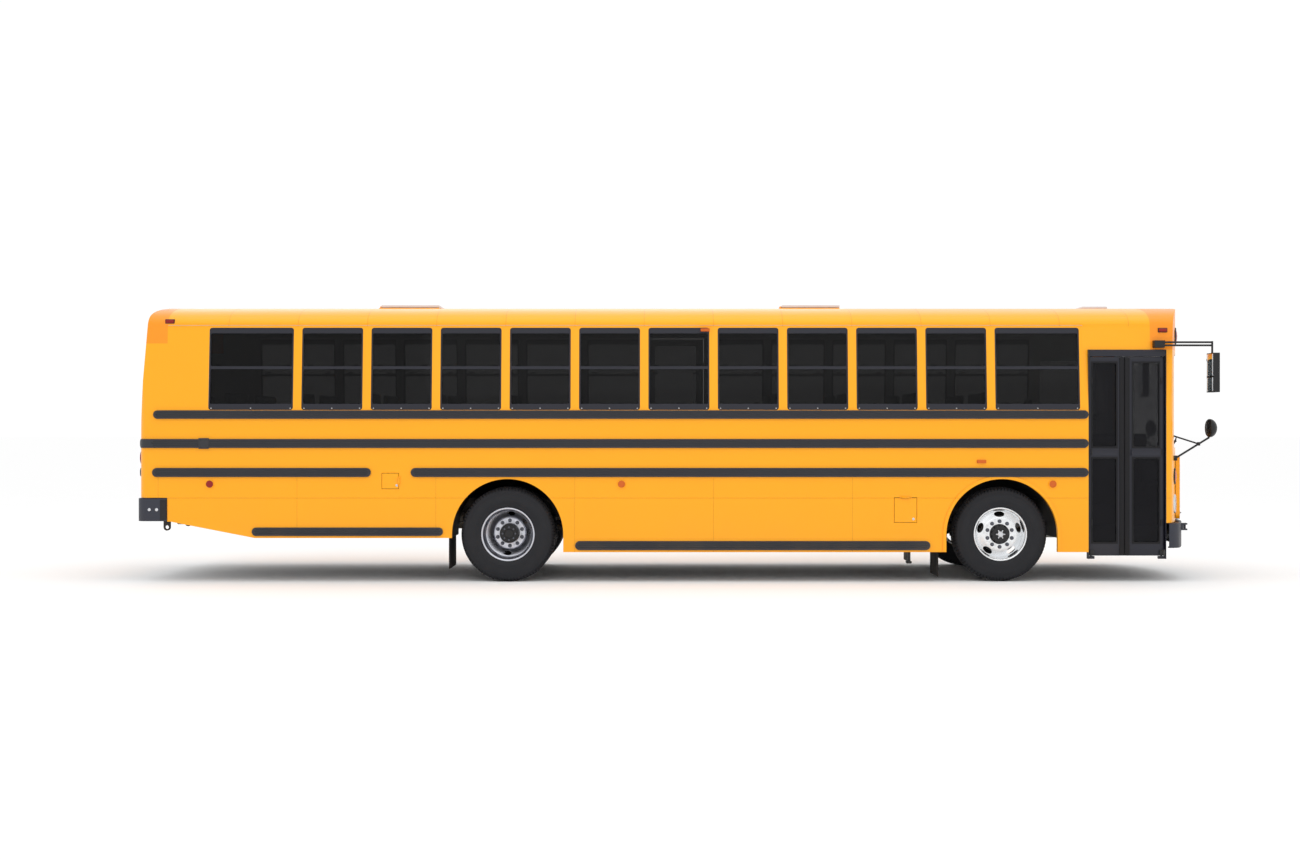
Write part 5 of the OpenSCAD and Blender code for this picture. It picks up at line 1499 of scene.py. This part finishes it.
class BUS_OT_front_fittings(bpy.types.Operator):
    """Adds the grille, wipers and hood catches to the bowed front"""

    bl_idname = "bus.front_fittings"
    bl_label = "Front fittings"

    def bar(self, half, foot, top, proud, depth):
        """Bends a flat bar round the front's bow."""
        bar = block((5.0, -half, foot), (5.0 + depth, half, top))
        pick(bar)
        bpy.ops.object.mode_set(mode="EDIT")
        bpy.ops.mesh.select_all(action="DESELECT")
        leave()
        for edge in bar.data.edges:
            ends = [bar.data.vertices[k].co for k in edge.vertices]
            edge.select = abs(ends[0].y - ends[1].y) > half
        bpy.ops.object.mode_set(mode="EDIT")
        bpy.ops.mesh.subdivide(number_cuts=31)
        leave()
        for vertex in bar.data.vertices:
            vertex.co.x += bow_x(vertex.co.y, proud) - depth - 5.0
        return bar

    def execute(self, context):
        surround = self.bar(0.60, 0.800, 1.290, 0.054, 0.006)
        slats = []
        for k in range(9):
            z = 0.832 + k * 0.052
            slat = self.bar(0.575, z, z + 0.030, 0.066, 0.016)
            choose_side(slat, UP)
            nudge((-0.006, 0, 0))
            leave()
            slats.append(rounded(slat, 0.002))
        rim = [self.bar(0.60, foot, foot + 0.018, 0.064, 0.018) for foot in (0.800, 1.272)]
        for side in SIDES:
            x = bow_x(0.6, 0.064)
            rim.append(rounded(block((x - 0.018, side * 0.592 - 0.008, 0.800),
                                     (x, side * 0.592 + 0.008, 1.290)), 0.002))
        dressed(surround, "front_hood", "black")
        surround.name = "grille_back"
        fitted("grille_slats", [*slats, *rim], "front_hood", "dash")
        self.wipers()
        self.hood_catches()
        return {"FINISHED"}

    def wipers(self):
        """Adds the two parked wipers: spindle, arm, bridge and blade."""
        arms, blades = [], []
        for side in SIDES:
            foot = Vector((bow_x(0.16, 0.004), side * 0.16, 1.452))
            tip = Vector((bow_x(0.62, 0.022), side * 0.62, 1.560))
            spindle = rod(foot - Vector((0.02, 0, 0)), foot + Vector((0.026, 0, 0)), 0.016, 18)
            arms.append(rounded(spindle, 0.003))
            arms.append(bent_tube([
                foot + Vector((0.018, 0, 0)), foot + Vector((0.024, side * 0.12, 0.02)),
                tip + Vector((0.004, side * -0.10, -0.02)), tip], 0.006))
            start = Vector((bow_x(0.30, 0.014), side * 0.30, 1.520))
            end = Vector((bow_x(0.93, 0.014), side * 0.93, 1.612))
            middle = Vector((bow_x(0.62, 0.016), side * 0.62, 1.566))
            blades.append(bent_tube([start, middle, end], 0.0055))
            arms.append(bent_tube([start + (middle - start) * 0.3, tip + Vector((0.006, 0, 0.004)),
                                   middle + (end - middle) * 0.7], 0.004))
        fitted("wiper_arms", arms, "bus_body", "black")
        fitted("wiper_blades", blades, "bus_body", "rubber")

    def hood_catches(self):
        """Adds the hood's two twist catches."""
        catches = []
        for side in SIDES:
            x = bow_x(0.74, 0.050)
            cup = turned([(0.001, 0.004), (0.020, 0.004), (0.026, 0.0), (0.026, -0.006),
                          (0.001, -0.006)], (x, side * 0.74, 0.745), (1, side * 0.28, 0), 28)
            key = rounded(block((x + 0.002, side * 0.74 - 0.016, 0.741),
                                (x + 0.014, side * 0.74 + 0.016, 0.749)), 0.002)
            catches.extend((cup, key))
        fitted("hood_catches", catches, "front_hood", "black")


class BUS_OT_small_parts(bpy.types.Operator):
    """Adds flap catches, door handles, the sill bracket and the rail splice"""

    bl_idname = "bus.small_parts"
    bl_label = "Small parts"

    def execute(self, context):
        for node in ("fuel_door", "battery_door"):
            low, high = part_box(node)
            cup = turned([(0.001, 0.002), (0.011, 0.002), (0.014, 0.0), (0.014, -0.003),
                          (0.001, -0.003)], (high.x - 0.035, -1.2195, low.z + 0.035), RIGHT, 28)
            key = rounded(block((high.x - 0.045, -1.2235, low.z + 0.0325),
                                (high.x - 0.025, -1.2205, low.z + 0.0375)), 0.001)
            fitted(f"{node}_catch", [cup, key], node, "bright")
        self.bracket()
        self.splice()
        self.door_handles()
        return {"FINISHED"}

    def bracket(self):
        """Adds the small step bracket that hangs under the right skirt."""
        leg = rounded(block((2.528, -1.190, 0.222), (2.560, -1.150, 0.372)), 0.004)
        foot = block((2.516, -1.196, 0.206), (2.574, -1.120, 0.228))
        choose_side(foot, DOWN)
        inset(0.008, 0.004)
        leave()
        fitted("sill_bracket", [leg, rounded(foot, 0.003)], "bus_body", "black")

    def splice(self):
        """Adds the clamp plate with its four bolts where the middle rail is joined."""
        plates = []
        for side in SIDES:
            y = side * (HALF_WIDTH + RAIL_PROUD)
            plate = rounded(block((-5.340, y - 0.0025, 1.478), (-5.225, y + 0.0025, 1.597)), 0.002)
            bolts = [turned([(0.001, 0.005), (0.006, 0.004), (0.009, 0.0), (0.001, 0.0)],
                            (x, y + side * 0.002, z), (0, side, 0), 14)
                     for x in (-5.318, -5.247) for z in (1.496, 1.579)]
            plates.extend((plate, *bolts))
        fitted("rail_splices", plates, "bus_body", "rail")

    def door_handles(self):
        """Adds lift handles to the rear and side emergency doors."""
        x = REAR_X - 0.001
        base = rounded(block((x - 0.008, 0.255, 1.665), (x + 0.004, 0.325, 1.775)), 0.003)
        grip = bent_tube([(x - 0.004, 0.29, 1.76), (x - 0.017, 0.29, 1.755),
                          (x - 0.018, 0.17, 1.755), (x - 0.014, 0.15, 1.755)], 0.007)
        fitted("rear_door_handle", [base, grip], "rear_door", "black")
        base = rounded(block((0.225, HALF_WIDTH - 0.004, 1.640),
                             (0.305, HALF_WIDTH + 0.008, 1.745)), 0.003)
        grip = bent_tube([(0.265, HALF_WIDTH + 0.004, 1.725), (0.265, HALF_WIDTH + 0.024, 1.722),
                          (0.14, HALF_WIDTH + 0.026, 1.720),
                          (0.12, HALF_WIDTH + 0.018, 1.720)], 0.007)
        fitted("side_door_handle", [base, grip], "side_door", "black")


# ---- Cabin ----

BENCH = {"y": (-1.140, -0.199), "seat": (1.393, 1.507), "depth": (0.016, 0.406), "top": 2.136}


def padded(name, piece, pressure, cap=0.018, voxel=0.022):
    """Swells a closed form into a cushion by cloth under pressure, by no more than cap."""
    piece.name = piece.data.name = name
    pick(piece)
    form = piece.modifiers.new("form", "REMESH")
    form.mode, form.voxel_size = "VOXEL", voxel
    bpy.ops.object.modifier_apply(modifier=form.name)
    start = [vertex.co.copy() for vertex in piece.data.vertices]
    cloth = piece.modifiers.new("cloth", "CLOTH")
    cloth.settings.use_pressure = True
    cloth.settings.uniform_pressure_force = pressure
    cloth.settings.effector_weights.gravity = 0
    cloth.settings.quality = 5
    cloth.point_cache.frame_start, cloth.point_cache.frame_end = 1, 16
    scene = bpy.context.scene
    for moment in range(1, 17):
        scene.frame_set(moment)
    shape = piece.evaluated_get(bpy.context.evaluated_depsgraph_get())
    places = [vertex.co.copy() for vertex in shape.data.vertices]
    piece.modifiers.remove(cloth)
    scene.frame_set(1)
    for vertex, first, last in zip(piece.data.vertices, start, places):
        move = last - first
        if move.length > cap:
            move *= cap / move.length
        vertex.co = first + move
    return piece


class BUS_OT_benches(bpy.types.Operator):
    """Makes one padded bench and sets a copy in every row"""

    bl_idname = "bus.benches"
    bl_label = "Benches"

    def execute(self, context):
        pressure = context.scene.bus_trim.crown
        cushion = self.cushion(pressure)
        back = self.back(pressure)
        rows = [REAR_X + 0.235 + k * ROW_PITCH for k in range(13)]
        right = [another(part, (x, 0, 0)) for x in rows if x < 3.5 for part in (cushion, back)]
        left_rows = [x for x in rows if x < 3.5 and (x + 0.42 < -0.359 or x - 0.1 > 0.342)]
        mirrored = [across_bus(part) for part in (cushion, back)]
        left = [another(part, (x, 0, 0)) for x in left_rows for part in mirrored]
        for part in (cushion, back, *mirrored):
            bpy.data.objects.remove(part)
        for name, parts in (("benches_right", right), ("benches_left", left)):
            whole = fitted(name, parts, "bus_body", "vinyl", angle=60.0)
        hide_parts("bench_pads")
        return {"FINISHED"}

    def cushion(self, pressure):
        """Swells the seat cushion of one bench."""
        y, seat, depth = BENCH["y"], BENCH["seat"], BENCH["depth"]
        form = block((depth[0] + 0.010, y[0] + 0.012, seat[0] + 0.004),
                     (depth[1] - 0.012, y[1] - 0.012, seat[1] - 0.012))
        rounded(form, 0.030, 4)
        return padded("bench_cushion", form, pressure)

    def back(self, pressure):
        """Swells the leaning back of one bench."""
        y, seat = BENCH["y"], BENCH["seat"]
        form = block((-0.047, y[0] + 0.012, seat[0] + 0.02),
                     (0.002, y[1] - 0.012, BENCH["top"] - 0.012))
        choose_side(form, UP)
        nudge((-0.032, 0, 0))
        leave()
        rounded(form, 0.022, 4)
        return padded("bench_back", form, pressure)


class BUS_OT_cabin(bpy.types.Operator):
    """Makes the driver's seat and finishes the steering wheel, dash and floor"""

    bl_idname = "bus.cabin"
    bl_label = "Driver's place and cabin"

    def execute(self, context):
        refined("steering_wheel", "black_plastic", 40.0, 0.003)
        refined("dashboard", "dash", 30.0, 0.006)
        refined("engine_cover", "dash", 30.0, 0.008)
        repaint("bench_frames", "grey")
        repaint("floor", "mat")
        self.driver_seat(context.scene.bus_trim.crown)
        self.instruments()
        return {"FINISHED"}

    def driver_seat(self, pressure):
        """Pads the driver's cushion, back and headrest on a pedestal."""
        parts = []
        cushion = rounded(block((4.395, 0.475, 1.412), (4.825, 0.925, 1.482)), 0.028, 4)
        parts.append(padded("driver_cushion", cushion, pressure, 0.014, 0.018))
        back = block((4.350, 0.480, 1.500), (4.425, 0.920, 1.930))
        choose_side(back, UP)
        nudge((-0.052, 0, 0))
        leave()
        parts.append(padded("driver_back", rounded(back, 0.028, 4), pressure, 0.014, 0.018))
        rest = rounded(block((4.292, 0.575, 1.960), (4.352, 0.825, 2.062)), 0.024, 4)
        parts.append(padded("driver_headrest", rest, pressure, 0.010, 0.016))
        whole = fitted("driver_cushions", parts, "bus_body", "vinyl",
                       ("driver_seat",), 60.0)
        post = rounded(block((4.400, 0.570, 1.081), (4.720, 0.830, 1.110)), 0.006)
        column = turned([(0.001, 0.0), (0.12, 0.0), (0.11, 0.05), (0.085, 0.08), (0.085, 0.24),
                         (0.12, 0.29), (0.001, 0.29)], (4.56, 0.70, 1.108), UP, 32)
        pan = rounded(block((4.390, 0.490, 1.385), (4.800, 0.910, 1.408)), 0.008)
        stalks = [rod((4.322, y, 1.93), (4.318, y, 1.99), 0.007, 12) for y in (0.64, 0.76)]
        fitted("driver_pedestal", [post, column, pan, *stalks], "bus_body", "black_plastic")

    def instruments(self):
        """Adds the round dials and a row of switches on the dash."""
        _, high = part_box("dashboard")
        x, z = 5.30, high.z - 0.001
        parts = []
        for y in (0.60, 0.70, 0.80):
            parts.append(turned([(0.001, 0.002), (0.040, 0.002), (0.044, 0.006), (0.050, 0.005),
                                 (0.052, -0.004), (0.001, -0.004)], (x, y, z), UP, 36))
        for k in range(8):
            parts.append(rounded(block((x - 0.012, -0.30 + k * 0.05, z - 0.002),
                                       (x + 0.012, -0.27 + k * 0.05, z + 0.006)), 0.002))
        fitted("dials_and_switches", parts, "bus_body", "black_plastic")


# ---- Underneath ----

class BUS_OT_chassis(bpy.types.Operator):
    """Finishes the frame, axles, springs, engine, pipes, tank and flaps"""

    bl_idname = "bus.chassis"
    bl_label = "Chassis"

    def execute(self, context):
        for node in ("chassis_frame", "front_axle", "rear_axle", "leaf_springs", "knuckle_left",
                     "knuckle_right", "tie_rod"):
            refined(node, "chassis")
        refined("wheel_housings", "black")
        refined("engine", "cast", 30.0, 0.01)
        refined("exhaust", "pipe")
        refined("fuel_tank", "black", 30.0, 0.004)
        refined("mud_flaps", "rubber", 30.0, 0.003)
        self.tank_straps()
        self.flap_bolts()
        return {"FINISHED"}

    def tank_straps(self):
        """Adds the two steel straps round the fuel tank."""
        low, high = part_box("fuel_tank")
        straps = []
        for x in (low.x + 0.28, high.x - 0.34):
            strap = block((x, low.y - 0.002, low.z - 0.003),
                          (x + 0.05, high.y + 0.002, low.z + 0.36))
            choose_edges(strap, lambda a, b: abs(a.x - b.x) > 0.04)
            bpy.ops.mesh.bevel(offset=0.05, segments=6)
            leave()
            straps.append(rounded(strap, 0.001))
        fitted("tank_straps", straps, "bus_body", "grey")

    def flap_bolts(self):
        """Adds the bolts along the top of each mud flap."""
        bolts = []
        for x, inner, outer in ((-2.5575, 0.62, 1.13), (2.866, 0.73, 1.13)):
            for side in SIDES:
                for k in range(4):
                    y = side * (inner + (outer - inner) * k / 3)
                    bolts.append(turned([(0.001, 0.006), (0.008, 0.005), (0.012, 0.0),
                                         (0.001, 0.0)], (x - 0.001, y, 0.70), BEHIND, 14))
        fitted("flap_bolts", bolts, "bus_body", "screw")


# ---- Stage ----

class BUS_OT_stage(bpy.types.Operator):
    """Sets the pale floor, the soft light and the camera"""

    bl_idname = "bus.stage"
    bl_label = "Stage"

    def execute(self, context):
        studio = context.scene.bus_studio
        pick()
        bpy.ops.mesh.primitive_circle_add(
            vertices=96, radius=400, fill_type="NGON", location=(0, 0, -0.001))
        sheet = settle(context.object)
        sheet.name = "stage_floor"
        sheet.data.materials.append(FINISHES["stage"])
        self.surround(studio.sky)
        self.lamp("overhead", (0, -2.5, 9.5), (0, 0, 0), (16, 9), studio.key)
        self.lamp("front_fill", (2.0, -13.0, 6.5), (0, 0, 1.5), (14, 5), studio.key * 0.2)
        self.lamp("rear_fill", (-3.0, 13.0, 6.5), (0, 0, 1.5), (14, 5), studio.key * 0.2)
        bpy.ops.object.camera_add(location=(-0.335, -18.63, 1.687), rotation=(math.pi / 2, 0, 0))
        camera = context.object
        camera.name = "camera"
        camera.data.lens = studio.lens
        camera.data.sensor_width = 36
        context.scene.camera = camera
        return {"FINISHED"}

    def surround(self, strength):
        """Lights the scene evenly from all round with white."""
        world = bpy.data.worlds.new("surround")
        world.use_nodes = True
        sky = world.node_tree.nodes["Background"]
        sky.inputs["Color"].default_value = (1, 1, 1, 1)
        sky.inputs["Strength"].default_value = strength
        bpy.context.scene.world = world

    def lamp(self, name, place, aim, size, power):
        """Adds one wide soft lamp that faces a point."""
        turn = (Vector(aim) - Vector(place)).to_track_quat("-Z", "Y").to_euler()
        bpy.ops.object.light_add(type="AREA", location=place, rotation=turn)
        lamp = bpy.context.object
        lamp.name = name
        lamp.data.shape = "RECTANGLE"
        lamp.data.size, lamp.data.size_y = size
        lamp.data.energy = power
        lamp.visible_camera = False


class BUS_PT_panel(bpy.types.Panel):
    """Lists the sizes, colours and pieces of the bus"""

    bl_label = "School bus"
    bl_idname = "BUS_PT_panel"
    bl_space_type = "VIEW_3D"
    bl_region_type = "UI"
    bl_category = "Bus"

    def draw(self, context):
        for group, names in GROUP_PROPERTIES:
            box = self.layout.box()
            for name in names:
                box.prop(getattr(context.scene, group), name)
        for operator in PIECES:
            self.layout.operator(operator.bl_idname)


GROUPS = {
    "bus_paint": BusPaint, "bus_wheels": BusWheels, "bus_trim": BusTrim, "bus_studio": BusStudio}
GROUP_PROPERTIES = [(group, list(made.__annotations__)) for group, made in GROUPS.items()]
PIECES = (
    BUS_OT_finishes, BUS_OT_shell, BUS_OT_windows, BUS_OT_rails, BUS_OT_wheels, BUS_OT_bumpers,
    BUS_OT_lamps, BUS_OT_mirrors, BUS_OT_entrance, BUS_OT_roof_fittings, BUS_OT_arms,
    BUS_OT_front_fittings, BUS_OT_small_parts, BUS_OT_benches, BUS_OT_cabin, BUS_OT_chassis,
    BUS_OT_stage)
CLASSES = (*GROUPS.values(), *PIECES, BUS_PT_panel)


def register():
    for made in CLASSES:
        bpy.utils.register_class(made)
    for group, made in GROUPS.items():
        setattr(bpy.types.Scene, group, PointerProperty(type=made))


def unregister():
    for group in GROUPS:
        delattr(bpy.types.Scene, group)
    for made in reversed(CLASSES):
        bpy.utils.unregister_class(made)


def main():
    """Makes every piece in order."""
    register()
    bpy.context.scene.view_settings.view_transform = "Standard"
    for operator in PIECES:
        family, name = operator.bl_idname.split(".")
        getattr(getattr(bpy.ops, family), name)()


if __name__ == "__main__":
    main()
